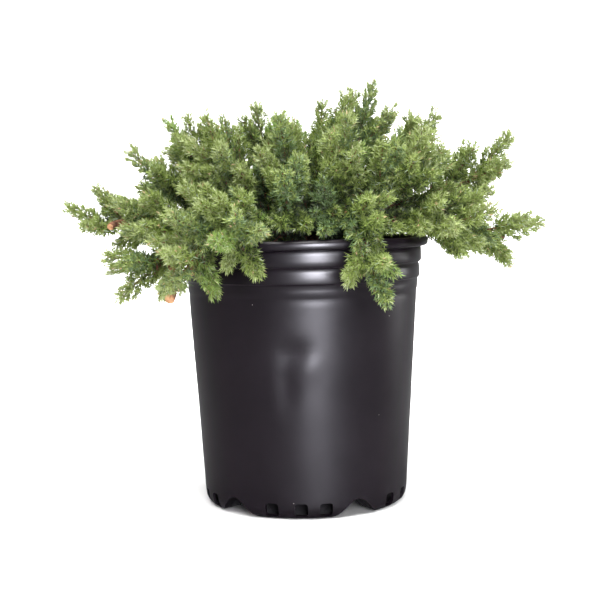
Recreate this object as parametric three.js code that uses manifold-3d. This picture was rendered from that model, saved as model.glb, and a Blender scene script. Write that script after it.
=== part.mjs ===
// A green mound juniper in a black nursery pot, in millimetres, +Z up.
// The origin is on the pot's axis, at the flat pad under the middle of the pot.
// The front of the plant faces -Y, and +X is to the right of a viewer who stands in front.
import * as THREE from "three";
import { mergeVertices } from "three/addons/utils/BufferGeometryUtils.js";
import Module from "manifold-3d";

const wasm = await Module();
wasm.setup();

// Driving dimensions of the pot
const RIM_RADIUS = 113;
const POT_HEIGHT = 237;
const LIP_HEIGHT = 8;
const BAND_RADIUS = 107;
const UPPER_GROOVE_Z = 213.5;
const LOWER_STEP_Z = 200;
const WALL_TOP_RADIUS = 103.4;
const WALL_FOOT_RADIUS = 91.5;
const WALL = 2.2;
const FLOOR_Z = 11;
const FOOT_COUNT = 5;
const FRONT_FOOT_DEG = -7;
const POT_SIDES = 32;

// Driving dimensions of the plant
const SOIL_Z = 212;
const TRUNK_TOP_Z = 262;
const TRUNK_ROOT_RADIUS = 15;
const TRUNK_RADIUS = 9;
const TRUNK_TIP_RADIUS = 6;
const TRUNK_LEAN = 5;
const BOUGH_TIP_RADIUS = 2.4;
const SPRAY_TWIG_RADIUS = 1.7;
const SPRAY_RADIUS = 10.5;
const SPRAY_LENGTH = 52;
const CORE_RADIUS = 15;
const SEAT_GAP = 0.3;
const CLEARANCE = 0.5;
const SEED = 20417;

const UP = new THREE.Vector3(0, 0, 1);
const POT_AXIS_POINT = new THREE.Vector3(0, 0, SOIL_Z);
const radians = THREE.MathUtils.degToRad;
const vec = (x, y, z) => new THREE.Vector3(x, y, z);

// One row for each mass of foliage and the bough that carries it: where the bough ends and the
// stem of the mass starts (heart), where that stem ends (tip), the height on the trunk that the
// bough leaves from, how many sprays the mass has and how long they are beside SPRAY_LENGTH.
const MASSES = [
  { name: "far_left", heart: [-80, -3, 248], tip: [-181, -3, 246], root: 223, sprays: 6, size: 0.88 },
  { name: "left_shoulder", heart: [-62, 8, 262], tip: [-121, 8, 280], root: 240, sprays: 6, size: 1 },
  { name: "left_low", heart: [-74, -34, 253], tip: [-127, -62, 208], root: 234, sprays: 6, size: 0.94 },
  { name: "left_hanging", heart: [-52, -58, 254], tip: [-94, -110, 210], root: 226, sprays: 6, size: 0.9 },
  { name: "upper_left", heart: [-40, 8, 276], tip: [-94, 10, 298], root: 252, sprays: 6, size: 1 },
  { name: "front_left", heart: [-32, -62, 252], tip: [-56, -122, 236], root: 239, sprays: 6, size: 0.9 },
  { name: "inner_left", heart: [-34, -24, 266], tip: [-66, -46, 294], root: 245, sprays: 5, size: 1 },
  { name: "top_left", heart: [-16, 2, 280], tip: [-30, 0, 302], root: 258, sprays: 5, size: 1 },
  { name: "front_low", heart: [-6, -46, 252], tip: [-12, -98, 260], root: 230, sprays: 5, size: 0.9 },
  { name: "front_low_right", heart: [16, -44, 252], tip: [26, -94, 258], root: 239, sprays: 5, size: 0.85 },
  { name: "front_middle", heart: [-4, -26, 268], tip: [-12, -56, 290], root: 250, sprays: 5, size: 1 },
  { name: "top_right", heart: [26, 2, 282], tip: [54, 0, 318], root: 257, sprays: 6, size: 1.05 },
  { name: "inner_right", heart: [22, -28, 266], tip: [34, -58, 292], root: 248, sprays: 5, size: 1 },
  { name: "front_hanging", heart: [32, -68, 256], tip: [58, -134, 196], root: 226, sprays: 6, size: 0.78 },
  { name: "front_right", heart: [46, -32, 262], tip: [86, -64, 284], root: 243, sprays: 6, size: 1 },
  { name: "upper_right", heart: [50, 4, 272], tip: [102, 2, 298], root: 250, sprays: 6, size: 1 },
  { name: "right_shoulder", heart: [74, 10, 262], tip: [165, 12, 288], root: 239, sprays: 6, size: 1 },
  { name: "far_right", heart: [82, -14, 248], tip: [180, -16, 233], root: 223, sprays: 6, size: 0.9 },
  { name: "right_low", heart: [68, -44, 251], tip: [126, -72, 243], root: 231, sprays: 6, size: 0.92 },
  { name: "back_left", heart: [-44, 36, 262], tip: [-96, 74, 290], root: 246, sprays: 6, size: 1 },
  { name: "back_top", heart: [7, 32, 275], tip: [18, 66, 314], root: 253, sprays: 5, size: 1 },
  { name: "back_right", heart: [40, 40, 262], tip: [88, 76, 292], root: 244, sprays: 6, size: 1 },
  { name: "right_back", heart: [76, 36, 250], tip: [146, 70, 252], root: 229, sprays: 5, size: 1 },
  { name: "left_back_low", heart: [-74, 38, 250], tip: [-148, 72, 250], root: 229, sprays: 5, size: 1 },
  { name: "back_low_left", heart: [-52, 66, 251], tip: [-96, 128, 244], root: 234, sprays: 6, size: 1 },
  { name: "back_low", heart: [-2, 78, 252], tip: [-8, 146, 248], root: 224, sprays: 6, size: 1 },
  { name: "back_low_right", heart: [46, 72, 251], tip: [84, 132, 244], root: 235, sprays: 6, size: 1 },
];

// A number generator that gives the same draws on every machine.
function makeRandom(seed) {
  let state = seed;
  return () => {
    state = (state * 16807) % 2147483647;
    return state / 2147483647;
  };
}

// A closed solid from a geometry whose shared vertices are merged by their place.
function solidOf(geometry) {
  const bare = geometry.clone();
  bare.deleteAttribute("normal");
  bare.deleteAttribute("uv");
  const merged = mergeVertices(bare, 1e-3);
  const triVerts = new Uint32Array(merged.index.array);
  return new wasm.Manifold(
    new wasm.Mesh({ numProp: 3, vertProperties: merged.attributes.position.array, triVerts }),
  );
}

// The largest body of a solid as a geometry: sealed hollows and loose scraps are left behind.
function geometryOf(solid) {
  const bodies = solid.decompose().sort((a, b) => b.volume() - a.volume());
  const mesh = bodies[0].getMesh();
  const geometry = new THREE.BufferGeometry();
  geometry.setAttribute("position", new THREE.BufferAttribute(mesh.vertProperties, 3));
  geometry.setIndex(new THREE.BufferAttribute(mesh.triVerts, 1));
  const shaded = geometry.toNonIndexed();
  shaded.computeVertexNormals();
  return shaded;
}

// A solid of revolution about Z from a closed profile of [radius, height] pairs.
function turned(profile, sides) {
  const points = [...profile, profile[0]].map(([r, z]) => new THREE.Vector2(r, z));
  return new THREE.LatheGeometry(points, sides).rotateX(Math.PI / 2);
}

// A cylinder bent along a curve. radiusAt gives the radius for a share of the length, a corner
// number and a step number, and reachAt moves that corner forward along the curve, in millimetres.
function bentCylinder(curve, sides, stations, radiusAt, reachAt = () => 0) {
  const steps = stations.length - 1;
  const cylinder = new THREE.CylinderGeometry(1, 1, steps, sides, steps);
  const place = cylinder.getAttribute("position");
  const side = Math.abs(curve.getTangent(0.5).z) > 0.9 ? vec(1, 0, 0) : UP;
  for (let i = 0; i < place.count; i++) {
    const step = Math.round(place.getY(i) + steps / 2);
    const angle = Math.atan2(place.getZ(i), place.getX(i));
    const corner = (Math.round((angle / (2 * Math.PI)) * sides) + sides) % sides;
    const onAxis = Math.hypot(place.getX(i), place.getZ(i)) < 0.5;
    const forward = curve.getTangent(stations[step]);
    const across = vec().crossVectors(side, forward).normalize();
    const over = vec().crossVectors(forward, across);
    const turn = (corner / sides) * 2 * Math.PI;
    const radius = onAxis ? 0 : radiusAt(stations[step], corner, step);
    const point = curve
      .getPoint(stations[step])
      .addScaledVector(forward, onAxis ? 0 : reachAt(corner, step))
      .addScaledVector(over, radius * Math.cos(turn))
      .addScaledVector(across, radius * Math.sin(turn));
    place.setXYZ(i, point.x, point.y, point.z);
  }
  return cylinder;
}

const evenStations = (steps) => Array.from({ length: steps + 1 }, (_, i) => i / steps);

// The pot's outer surface, from the pad under its middle round the foot and up to the lip.
const FOOT_INNER_RADIUS = 68;
const FOOT_CORNER = 7;
const FOOT_SLOPE = 4;
const BAND_STEP = 1.6;
const LIP_Z = POT_HEIGHT - LIP_HEIGHT;
const LIP_CORNER = 1.5;
const PAD_RADIUS = 16;
const outerProfile = [
  [0, 0],
  [PAD_RADIUS, 0],
  [PAD_RADIUS + FOOT_SLOPE, FLOOR_Z - WALL],
  [FOOT_INNER_RADIUS - FOOT_SLOPE, FLOOR_Z - WALL],
  [FOOT_INNER_RADIUS, 0],
  [WALL_FOOT_RADIUS - FOOT_CORNER, 0],
  [WALL_FOOT_RADIUS - FOOT_CORNER * 0.2, FOOT_CORNER * 0.5],
  [WALL_FOOT_RADIUS, FOOT_CORNER * 1.4],
  [WALL_TOP_RADIUS, LOWER_STEP_Z],
  [BAND_RADIUS - BAND_STEP, LOWER_STEP_Z + 4],
  [BAND_RADIUS - BAND_STEP, UPPER_GROOVE_Z],
  [BAND_RADIUS, UPPER_GROOVE_Z + 2],
  [BAND_RADIUS, LIP_Z],
  [RIM_RADIUS, LIP_Z],
  [RIM_RADIUS, POT_HEIGHT - LIP_CORNER],
  [RIM_RADIUS - LIP_CORNER, POT_HEIGHT],
  [BAND_RADIUS - WALL, POT_HEIGHT],
  [0, POT_HEIGHT],
];

// The hollow inside it, which follows the wall and leaves the raised floor.
const innerProfile = [
  [0, FLOOR_Z],
  [FOOT_INNER_RADIUS - 3, FLOOR_Z],
  [FOOT_INNER_RADIUS + WALL, WALL],
  [WALL_FOOT_RADIUS - FOOT_CORNER, WALL],
  [WALL_FOOT_RADIUS - WALL, FOOT_CORNER + 4],
  [WALL_TOP_RADIUS - WALL, LOWER_STEP_Z],
  [BAND_RADIUS - WALL - BAND_STEP, LOWER_STEP_Z + 6],
  [BAND_RADIUS - WALL - BAND_STEP, UPPER_GROOVE_Z],
  [BAND_RADIUS - WALL, POT_HEIGHT],
  [BAND_RADIUS - WALL, POT_HEIGHT + 5],
  [0, POT_HEIGHT + 5],
];

// The scoop between two feet: a bell-shaped arch that grows taller and wider towards the wall.
const SCOOP_HALF_WIDTH = 14;
const SCOOP_HEIGHT = 3.5;
const SCOOP_SPREAD = 11;
const SCOOP_RISE = 12;
const SCOOP_SHARES = [-0.5, 0, 0.5];

function footArch(grow) {
  const bell = new THREE.Shape();
  const half = SCOOP_HALF_WIDTH + grow;
  const top = SCOOP_HEIGHT + grow;
  bell.moveTo(-half, -3);
  bell.lineTo(-half, 0);
  for (const share of SCOOP_SHARES) {
    bell.lineTo(share * half, (top * (1 + Math.cos(Math.PI * share))) / 2);
  }
  bell.lineTo(half, 0);
  bell.lineTo(half, -3);
  bell.closePath();
  const start = FOOT_INNER_RADIUS - 3;
  const end = WALL_FOOT_RADIUS + 8;
  const arch = new THREE.ExtrudeGeometry(bell, { depth: end - start, bevelEnabled: false });
  const place = arch.getAttribute("position");
  for (let i = 0; i < place.count; i++) {
    const outward = place.getZ(i) / (end - start);
    const across = place.getX(i) * (1 + (SCOOP_SPREAD * outward) / half);
    const rise = (SCOOP_RISE * outward * Math.max(place.getY(i), 0)) / top;
    place.setXYZ(i, across, -(start + outward * (end - start)), place.getY(i) + rise);
  }
  const winding = solidOf(arch);
  return winding.volume() > 0 ? winding : solidOf(arch.scale(-1, 1, 1));
}

// A drain window: a hole with a rounded top through the foot's outer wall. Each foot has three.
const WINDOW_HALF_WIDTH = 5.6;
const WINDOW_SILL_Z = 2.4;
const WINDOW_SHOULDER_Z = 12;
const WINDOW_TOP_Z = 14;
const WINDOW_DEPTH = 14;
const WINDOWS_BESIDE_DEG = [-12, 4, 17.5];

function drainWindow() {
  const outline = new THREE.Shape();
  outline.moveTo(-WINDOW_HALF_WIDTH, WINDOW_SILL_Z);
  outline.lineTo(WINDOW_HALF_WIDTH, WINDOW_SILL_Z);
  outline.lineTo(WINDOW_HALF_WIDTH, WINDOW_SHOULDER_Z);
  outline.lineTo(WINDOW_HALF_WIDTH * 0.6, WINDOW_TOP_Z);
  outline.lineTo(-WINDOW_HALF_WIDTH * 0.6, WINDOW_TOP_Z);
  outline.lineTo(-WINDOW_HALF_WIDTH, WINDOW_SHOULDER_Z);
  outline.closePath();
  const hole = new THREE.ExtrudeGeometry(outline, { depth: WINDOW_DEPTH, bevelEnabled: false });
  hole.rotateX(Math.PI / 2).translate(0, -WALL_FOOT_RADIUS + 8, 0);
  return solidOf(hole);
}

function buildPot() {
  const archDegrees = Array.from(
    { length: FOOT_COUNT },
    (_, i) => FRONT_FOOT_DEG + ((i + 0.5) * 360) / FOOT_COUNT,
  );
  const turnedTo = (solid, degrees) => solid.rotate([0, 0, degrees]);
  let outer = solidOf(turned(outerProfile, POT_SIDES));
  let hollow = solidOf(turned(innerProfile, POT_SIDES));
  for (const degrees of archDegrees) {
    outer = outer.subtract(turnedTo(footArch(0), degrees));
    hollow = hollow.subtract(turnedTo(footArch(WALL), degrees));
  }
  let pot = outer.subtract(hollow);
  for (let foot = 0; foot < FOOT_COUNT; foot++) {
    for (const beside of WINDOWS_BESIDE_DEG) {
      const degrees = FRONT_FOOT_DEG + (foot * 360) / FOOT_COUNT + beside;
      pot = pot.subtract(turnedTo(drainWindow(), degrees));
    }
  }
  return geometryOf(pot);
}

// The potting mix: it rests on the floor, clears the hollow feet and ends short of the lip.
const SOIL_GAP = 0.4;
const SCOOP_CLEAR_Z = 26.4;

function buildSoil() {
  const wallInside = WALL_TOP_RADIUS - WALL - SOIL_GAP;
  return turned(
    [
      [0, FLOOR_Z + SOIL_GAP],
      [FOOT_INNER_RADIUS - 10, FLOOR_Z + SOIL_GAP],
      [WALL_FOOT_RADIUS - WALL - 1, SCOOP_CLEAR_Z],
      [wallInside, LOWER_STEP_Z],
      [wallInside, SOIL_Z - 5],
      [TRUNK_ROOT_RADIUS * 3, SOIL_Z],
      [0, SOIL_Z],
    ],
    POT_SIDES,
  );
}

// The short trunk, from a flat cut at the soil to the fork, with a flare at its foot.
const FLARE_SHARE = 0.3;
const TRUNK_SIDES = 10;
const TRUNK_STATIONS = [0, 0.1, 0.2, 0.35, 0.6, 1];
const trunkCurve = new THREE.QuadraticBezierCurve3(
  vec(0, 0, SOIL_Z + SEAT_GAP),
  vec(0, 0, (SOIL_Z + TRUNK_TOP_Z) / 2),
  vec(TRUNK_LEAN, -TRUNK_LEAN * 0.4, TRUNK_TOP_Z),
);

function trunkRadius(share) {
  const flare = (TRUNK_ROOT_RADIUS - TRUNK_RADIUS) * Math.max(0, 1 - share / FLARE_SHARE) ** 2;
  return THREE.MathUtils.lerp(TRUNK_RADIUS, TRUNK_TIP_RADIUS, share) + flare;
}

function trunkGeometry(grow) {
  return bentCylinder(trunkCurve, TRUNK_SIDES, TRUNK_STATIONS, (t) => trunkRadius(t) + grow);
}

// The bough of a mass: it leaves the trunk low, and bends up or out to the heart of the mass.
const BOUGH_SIDES = 5;
const BOUGH_STEPS = 3;
const BOUGH_ARCH = 0.03;
const THINNEST_BOUGH = 2.6;
const THICKEST_BOUGH = 3.5;

function boughCurve(mass) {
  const heart = vec(...mass.heart);
  const share = (mass.root - SOIL_Z) / (TRUNK_TOP_Z - SOIL_Z);
  const root = trunkCurve.getPoint(share);
  const away = heart.clone().sub(root).setZ(0).normalize();
  const start = root.clone().addScaledVector(away, trunkRadius(share) * 0.5);
  const span = heart.distanceTo(start);
  const bend = start.clone().lerp(heart, 0.5).addScaledVector(UP, BOUGH_ARCH * span);
  return new THREE.QuadraticBezierCurve3(start, bend, heart);
}

function boughRadius(mass, share) {
  const span = vec(...mass.heart).distanceTo(POT_AXIS_POINT);
  const thick = THREE.MathUtils.clamp(2 + span / 80, THINNEST_BOUGH, THICKEST_BOUGH);
  return THREE.MathUtils.lerp(thick, BOUGH_TIP_RADIUS, share);
}

function boughGeometry(mass, curve) {
  return bentCylinder(curve, BOUGH_SIDES, evenStations(BOUGH_STEPS), (t) => boughRadius(mass, t));
}

// The stem of a mass carries on from its bough's tip, bends a little, and ends in the mass.
const STEM_SIDES = 4;
const STEM_STEPS = 3;
const STEM_TIP_RADIUS = 1.5;
const STEM_BEND = 0.45;

function stemCurve(mass, bough) {
  const heart = vec(...mass.heart);
  const tip = vec(...mass.tip);
  const forward = bough.getTangent(1);
  const start = heart.clone().addScaledVector(forward, SEAT_GAP);
  const bend = heart.clone().addScaledVector(forward, STEM_BEND * heart.distanceTo(tip));
  return new THREE.QuadraticBezierCurve3(start, bend, tip);
}

const stemRadius = (t) => THREE.MathUtils.lerp(BOUGH_TIP_RADIUS - 0.1, STEM_TIP_RADIUS, t);

// The place on a limb's centre line that is nearest to a point, with the limb's radius there.
function nearestOn(line, point) {
  let nearest = { distance: Infinity };
  for (let i = 1; i < line.length; i++) {
    const segment = new THREE.Line3(line[i - 1].point, line[i].point);
    const share = segment.closestPointToPointParameter(point, true);
    const radius = THREE.MathUtils.lerp(line[i - 1].radius, line[i].radius, share);
    const at = segment.at(share, vec());
    const distance = at.distanceTo(point) - radius;
    if (distance < nearest.distance) nearest = { at, distance };
  }
  return nearest;
}

// How far inside its own space a point is: the distance to the plane halfway between the nearest
// place on the mass's own stem and the nearest place on another stem.
function depthInOwnSpace(point, own, other) {
  const home = nearestOn(own, point).at;
  const away = nearestOn(other, point).at;
  const difference = away.distanceToSquared(point) - home.distanceToSquared(point);
  return difference / (2 * home.distanceTo(away));
}

const lineOf = (curve, steps, radiusAt) =>
  evenStations(steps).map((t) => ({ point: curve.getPoint(t), radius: radiusAt(t) }));

// How far a point is from the pot's wall, lip and soil, as seen in a section through the axis.
const potSection = [
  [WALL_FOOT_RADIUS, 10],
  [WALL_TOP_RADIUS, LOWER_STEP_Z],
  [BAND_RADIUS, UPPER_GROOVE_Z],
  [BAND_RADIUS, LIP_Z],
  [RIM_RADIUS, LIP_Z],
  [RIM_RADIUS, POT_HEIGHT],
  [BAND_RADIUS - WALL, POT_HEIGHT],
  [WALL_TOP_RADIUS - WALL, SOIL_Z],
  [0, SOIL_Z],
].map(([r, z]) => ({ point: vec(r, 0, z), radius: 0 }));

function distanceToPot(point) {
  const radius = Math.hypot(point.x, point.y);
  const section = vec(radius, 0, point.z);
  const beneathSoil = radius < BAND_RADIUS && point.z < SOIL_Z;
  return beneathSoil ? -1 : nearestOn(potSection, section).distance;
}

// A spray's outline from root to tip. Every other corner stands out and forward as needles do,
// and the corners between them draw in.
const SPRAY_SIDES = 4;
const SPRAY_STATIONS = [0, 0.3, 0.56, 0.82, 1];
const SPRAY_OUTLINE = [0, 0.7, 1, 0.8, 0.25];
const NEEDLE_OUT = 1.5;
const NEEDLE_IN = 0.75;
const NEEDLE_FORWARD = 4.5;
const isNeedle = (corner, step) => (corner + step) % 2 === 0 && step > 0;

function sprayRadius(spray, step, corner) {
  if (step === 0) return SPRAY_TWIG_RADIUS;
  return SPRAY_OUTLINE[step] * spray.radius * (isNeedle(corner, step) ? NEEDLE_OUT : NEEDLE_IN);
}

function sprayGeometry(spray) {
  return bentCylinder(
    spray.curve,
    SPRAY_SIDES,
    SPRAY_STATIONS,
    (t, corner, step) => sprayRadius(spray, step, corner),
    (corner, step) => (isNeedle(corner, step) ? NEEDLE_FORWARD : 0),
  );
}

// How much the sprays of a mass turn up: fully on a steep stem, and hardly on a hanging one.
const LEVEL_LEAN = 0.35;
const LEAN_BY_RISE = 0.7;
const LEAST_LEAN = 0.08;
const MOST_LEAN = 0.75;

function leanUp(mass) {
  const rise = vec(...mass.tip).sub(vec(...mass.heart)).normalize().z;
  return THREE.MathUtils.clamp(LEVEL_LEAN + LEAN_BY_RISE * rise, LEAST_LEAN, MOST_LEAN);
}

// One spray as the growth rule tries it: it leaves the stem at a share of its length, leans out
// from the plant and up, and turns round the stem by the golden angle from the one before. The
// sprays tried first are the longest, and one at the stem's end carries the stem on.
const GOLDEN_TURN = radians(137.5);
const MOST_TRIES = 240;
const TIP_TRIES = 12;
const TIP_SHARE = 0.86;
const FIRST_SHARE = 0.08;
const SHARE_RANGE = 0.8;
const TIP_SPREAD = 0.15;
const LEAST_SPREAD = 0.75;
const SPREAD_RANGE = 0.5;
const ALONG = 0.8;
const LEAN_OUT = 0.2;
const MOST_VIGOUR = 1.1;
const LEAST_VIGOUR = 0.65;
const VIGOUR_RANGE = 0.15;
const UPTURN = 0.1;
const BEND_SHARE = 0.55;

function trySpray(mass, stem, number, last, random) {
  const share = last ? TIP_SHARE : FIRST_SHARE + SHARE_RANGE * random();
  const root = stem.getPoint(share);
  const along = stem.getTangent(share);
  const across = vec().crossVectors(UP, along).normalize();
  const over = vec().crossVectors(along, across);
  const turn = number * GOLDEN_TURN + random();
  const outward = root.clone().sub(POT_AXIS_POINT).normalize();
  const spread = last ? TIP_SPREAD * random() : LEAST_SPREAD + SPREAD_RANGE * random();
  const direction = along
    .clone()
    .multiplyScalar(ALONG)
    .addScaledVector(over, spread * Math.cos(turn))
    .addScaledVector(across, spread * Math.sin(turn))
    .addScaledVector(outward, LEAN_OUT)
    .addScaledVector(UP, leanUp(mass))
    .normalize();
  const fading = THREE.MathUtils.lerp(MOST_VIGOUR, LEAST_VIGOUR, number / MOST_TRIES);
  const vigour = last ? MOST_VIGOUR : fading - VIGOUR_RANGE * random();
  const length = SPRAY_LENGTH * mass.size * vigour;
  const tip = root.clone().addScaledVector(direction, length).addScaledVector(UP, UPTURN * length);
  const bend = root.clone().addScaledVector(direction, length * BEND_SHARE);
  return {
    curve: new THREE.QuadraticBezierCurve3(root, bend, tip),
    radius: SPRAY_RADIUS * mass.size * Math.sqrt(vigour),
  };
}

// The places along a spray that are tested, with the share of its radius that it reaches there.
// The last one is past its tip, where the tip's needles end.
const REACH = 1.3;
const TESTED = [
  { share: 0.15, reach: 0.45 },
  { share: 0.3, reach: 0.9 },
  { share: 0.5, reach: 1 },
  { share: 0.7, reach: 1 },
  { share: 0.9, reach: 0.7 },
  { share: 1, reach: 0.3, beyond: NEEDLE_FORWARD },
];

// Sprays of one mass keep their widest places this far apart, in sums of their radii.
const SPACING = 1.15;
const WIDEST_SHARE = 0.7;

// A spray fits when all of it keeps to its own mass's space, clear of every limb and the pot.
function fits(spray, own, sprays, lines, limbs) {
  const { curve, radius } = spray;
  const places = TESTED.map(({ share, reach, beyond = 0 }) => ({
    point: curve.getPoint(share).addScaledVector(curve.getTangent(share), beyond),
    room: reach * radius * REACH + CLEARANCE,
  }));
  const keepsOwnSpace = places.every(({ point, room }) =>
    lines.every((line, i) => i === own || depthInOwnSpace(point, lines[own], line) > room),
  );
  if (!keepsOwnSpace) return false;
  const isClear = places.every(
    ({ point, room }) =>
      distanceToPot(point) > room && limbs.every((limb) => nearestOn(limb, point).distance > room),
  );
  if (!isClear) return false;
  const widest = curve.getPoint(WIDEST_SHARE);
  return sprays.every((other) => {
    const distance = other.curve.getPoint(WIDEST_SHARE).distanceTo(widest);
    return distance > SPACING * (radius + other.radius);
  });
}

const boughs = MASSES.map((mass) => boughCurve(mass));
const stems = MASSES.map((mass, i) => stemCurve(mass, boughs[i]));
const stemLines = stems.map((stem) => lineOf(stem, STEM_STEPS, () => 0));
const LIMB_STEPS = 5;
const limbLines = [
  lineOf(trunkCurve, LIMB_STEPS, trunkRadius),
  ...boughs.map((bough, i) => lineOf(bough, LIMB_STEPS, (t) => boughRadius(MASSES[i], t))),
];
const SEED_STEP = 101;

function growSprays(mass, own) {
  const random = makeRandom(SEED + own * SEED_STEP);
  const sprays = [];
  for (let n = 0; n < MOST_TRIES && sprays.length < mass.sprays; n++) {
    const last = sprays.length === 0 && n < TIP_TRIES;
    const spray = trySpray(mass, stems[own], n, last, random);
    if (fits(spray, own, sprays, stemLines, limbLines)) sprays.push(spray);
  }
  return sprays;
}

// How much room there is round a point of a mass's stem, up to its neighbours, limbs and pot.
function roomAt(point, own) {
  const others = stemLines.filter((line, i) => i !== own);
  return Math.min(
    distanceToPot(point),
    ...limbLines.map((limb) => nearestOn(limb, point).distance),
    ...others.map((line) => depthInOwnSpace(point, stemLines[own], line)),
  );
}

// The dense heart of a mass, where its twigs and needles close up round the stem. It draws back
// wherever the space between this mass and its neighbours gets narrow.
const CORE_SIDES = 5;
const CORE_STATIONS = [0.12, 0.4, 0.75, 1];
const CORE_OUTLINE = [0.3, 0.9, 1, 0.4];
const CORE_UNEVEN = 0.8;
const CORE_LOOK = 0.1;

function coreGeometry(own) {
  const stem = stems[own];
  return bentCylinder(stem, CORE_SIDES, CORE_STATIONS, (t, corner, step) => {
    const nearby = [t - CORE_LOOK, t, Math.min(1, t + CORE_LOOK)];
    const room = Math.min(...nearby.map((share) => roomAt(stem.getPoint(share), own)));
    const wanted = CORE_RADIUS * CORE_OUTLINE[step] * (corner % 2 ? 1 : CORE_UNEVEN);
    return Math.max(stemRadius(t), Math.min(wanted, room - 2 * CLEARANCE));
  });
}

function buildMass(mass, own) {
  let solid = solidOf(bentCylinder(stems[own], STEM_SIDES, evenStations(STEM_STEPS), stemRadius));
  solid = solid.add(solidOf(coreGeometry(own)));
  for (const spray of growSprays(mass, own)) {
    solid = solid.add(solidOf(sprayGeometry(spray)));
  }
  return geometryOf(solid);
}

function buildBough(mass, own) {
  const bough = solidOf(boughGeometry(mass, boughs[own]));
  return geometryOf(bough.subtract(solidOf(trunkGeometry(SEAT_GAP))));
}

// Materials as the photograph shows them
const blackPlastic = new THREE.MeshStandardMaterial({ color: 0x242328, roughness: 0.45 });
const pottingMix = new THREE.MeshStandardMaterial({ color: 0x2b2019, roughness: 1 });
const redBrownBark = new THREE.MeshStandardMaterial({ color: 0x7a4a30, roughness: 0.9 });
const needleGreen = new THREE.MeshStandardMaterial({ color: 0x5f7d45, roughness: 0.7 });

const juniper = new THREE.Group();

function addPart(name, geometry, material) {
  const mesh = new THREE.Mesh(geometry, material);
  mesh.name = name;
  juniper.add(mesh);
}

addPart("pot", buildPot(), blackPlastic);
addPart("soil", buildSoil(), pottingMix);
addPart("trunk", trunkGeometry(0), redBrownBark);
MASSES.forEach((mass, own) => {
  addPart(`bough_${mass.name}`, buildBough(mass, own), redBrownBark);
  addPart(`foliage_${mass.name}`, buildMass(mass, own), needleGreen);
});

export default juniper;
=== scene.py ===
# %% [markdown]
# # A green mound juniper in a nursery pot
#
# This lesson dresses the plain solids of a potted juniper. The pot is lathed and cut, the wood
# gets bark, and each mass of foliage grows again, twig by twig, by a small seeded rule. The sizes
# are those of the solids, so the two models lie in one frame.

# %% Load the frame
from math import cos, pi, radians, sin

import bpy
import numpy as np
from mathutils import Matrix


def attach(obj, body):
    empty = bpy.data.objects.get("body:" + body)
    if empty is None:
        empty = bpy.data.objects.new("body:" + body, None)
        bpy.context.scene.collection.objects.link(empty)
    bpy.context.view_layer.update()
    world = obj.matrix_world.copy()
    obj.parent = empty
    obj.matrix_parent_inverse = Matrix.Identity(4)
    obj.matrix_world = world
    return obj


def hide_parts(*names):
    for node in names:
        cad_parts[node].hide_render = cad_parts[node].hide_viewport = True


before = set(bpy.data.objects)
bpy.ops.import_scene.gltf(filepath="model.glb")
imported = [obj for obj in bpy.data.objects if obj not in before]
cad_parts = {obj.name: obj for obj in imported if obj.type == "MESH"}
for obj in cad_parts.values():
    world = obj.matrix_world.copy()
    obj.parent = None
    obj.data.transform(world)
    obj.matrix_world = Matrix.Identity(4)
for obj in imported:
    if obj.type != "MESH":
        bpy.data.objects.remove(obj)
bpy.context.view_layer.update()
MM = 0.001
print("solids in the frame:", len(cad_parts))

# %% [markdown]
# ## Camera, floor and light
#
# The photograph looks at the plant from the front and a little from above. Only one height and
# tilt of the camera turns the pot's rings into the ellipses that it shows. The lens is long, as
# in product photographs. The studio is a pale floor that curves up into a wall, so that no
# horizon shows.

# %% Camera
CAMERA_PLACE = (-2.56 * MM, -1150 * MM, 270 * MM)
CAMERA_TILT_DOWN = 0.078
CAMERA_ROLL = -0.019
FOCAL_PIXELS = 1272.7
PHOTO_PIXELS = 600
SENSOR_MM = 36

bpy.ops.object.select_all(action="DESELECT")
bpy.ops.object.camera_add()
camera = bpy.context.object
camera.name = "photo_camera"
camera.data.sensor_width = SENSOR_MM
camera.data.lens = FOCAL_PIXELS * SENSOR_MM / PHOTO_PIXELS
tilt = Matrix.Rotation(pi / 2 - CAMERA_TILT_DOWN, 4, "X")
camera.matrix_world = Matrix.Translation(CAMERA_PLACE) @ tilt @ Matrix.Rotation(CAMERA_ROLL, 4, "Z")
bpy.context.scene.camera = camera
print("camera lens", round(camera.data.lens, 1), "mm")

# %% Small helpers for modelling by operator


def deselect():
    """Leaves edit mode and clears the selection, so that an operator acts only on what comes next."""
    if bpy.context.object and bpy.context.object.mode != "OBJECT":
        leave_edit()
    bpy.ops.object.select_all(action="DESELECT")


def edit(kind):
    """Opens the mesh for editing by points, edges or faces."""
    bpy.ops.object.mode_set(mode="EDIT")
    bpy.ops.mesh.select_mode(type=kind)


def leave_edit():
    """Closes the mesh again, so that its data can be read."""
    bpy.ops.object.mode_set(mode="OBJECT")


def choose(piece):
    """Makes one object the only selected one, and the active one."""
    deselect()
    piece.select_set(True)
    bpy.context.view_layer.objects.active = piece


def settle(piece):
    """Puts the object's place into its mesh, as the frame's own nodes have it."""
    choose(piece)
    bpy.ops.object.transform_apply(location=True, rotation=True, scale=True)


def grow_chosen(width, height, depth=1):
    """Scales what is chosen for editing, about the foot of the pot's axis."""
    bpy.ops.transform.resize(value=(width, depth, height), center_override=(0, 0, 0))


# %% Small helpers for shader nodes


def feed(tree, socket, value):
    """Links an output to a socket, or sets the socket's own value."""
    if isinstance(value, bpy.types.NodeSocket):
        tree.links.new(value, socket)
    else:
        socket.default_value = value


def node(tree, kind, inputs, output=0, **options):
    """Adds a node with its options and inputs, and gives back one of its outputs."""
    added = tree.nodes.new("ShaderNode" + kind)
    for option, value in options.items():
        setattr(added, option, value)
    for name, value in inputs.items():
        feed(tree, added.inputs[name], value)
    return added.outputs[output]


def place_on(tree):
    """The place on the object, in its own coordinates."""
    return node(tree, "TexCoord", {}, "Object")


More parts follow.
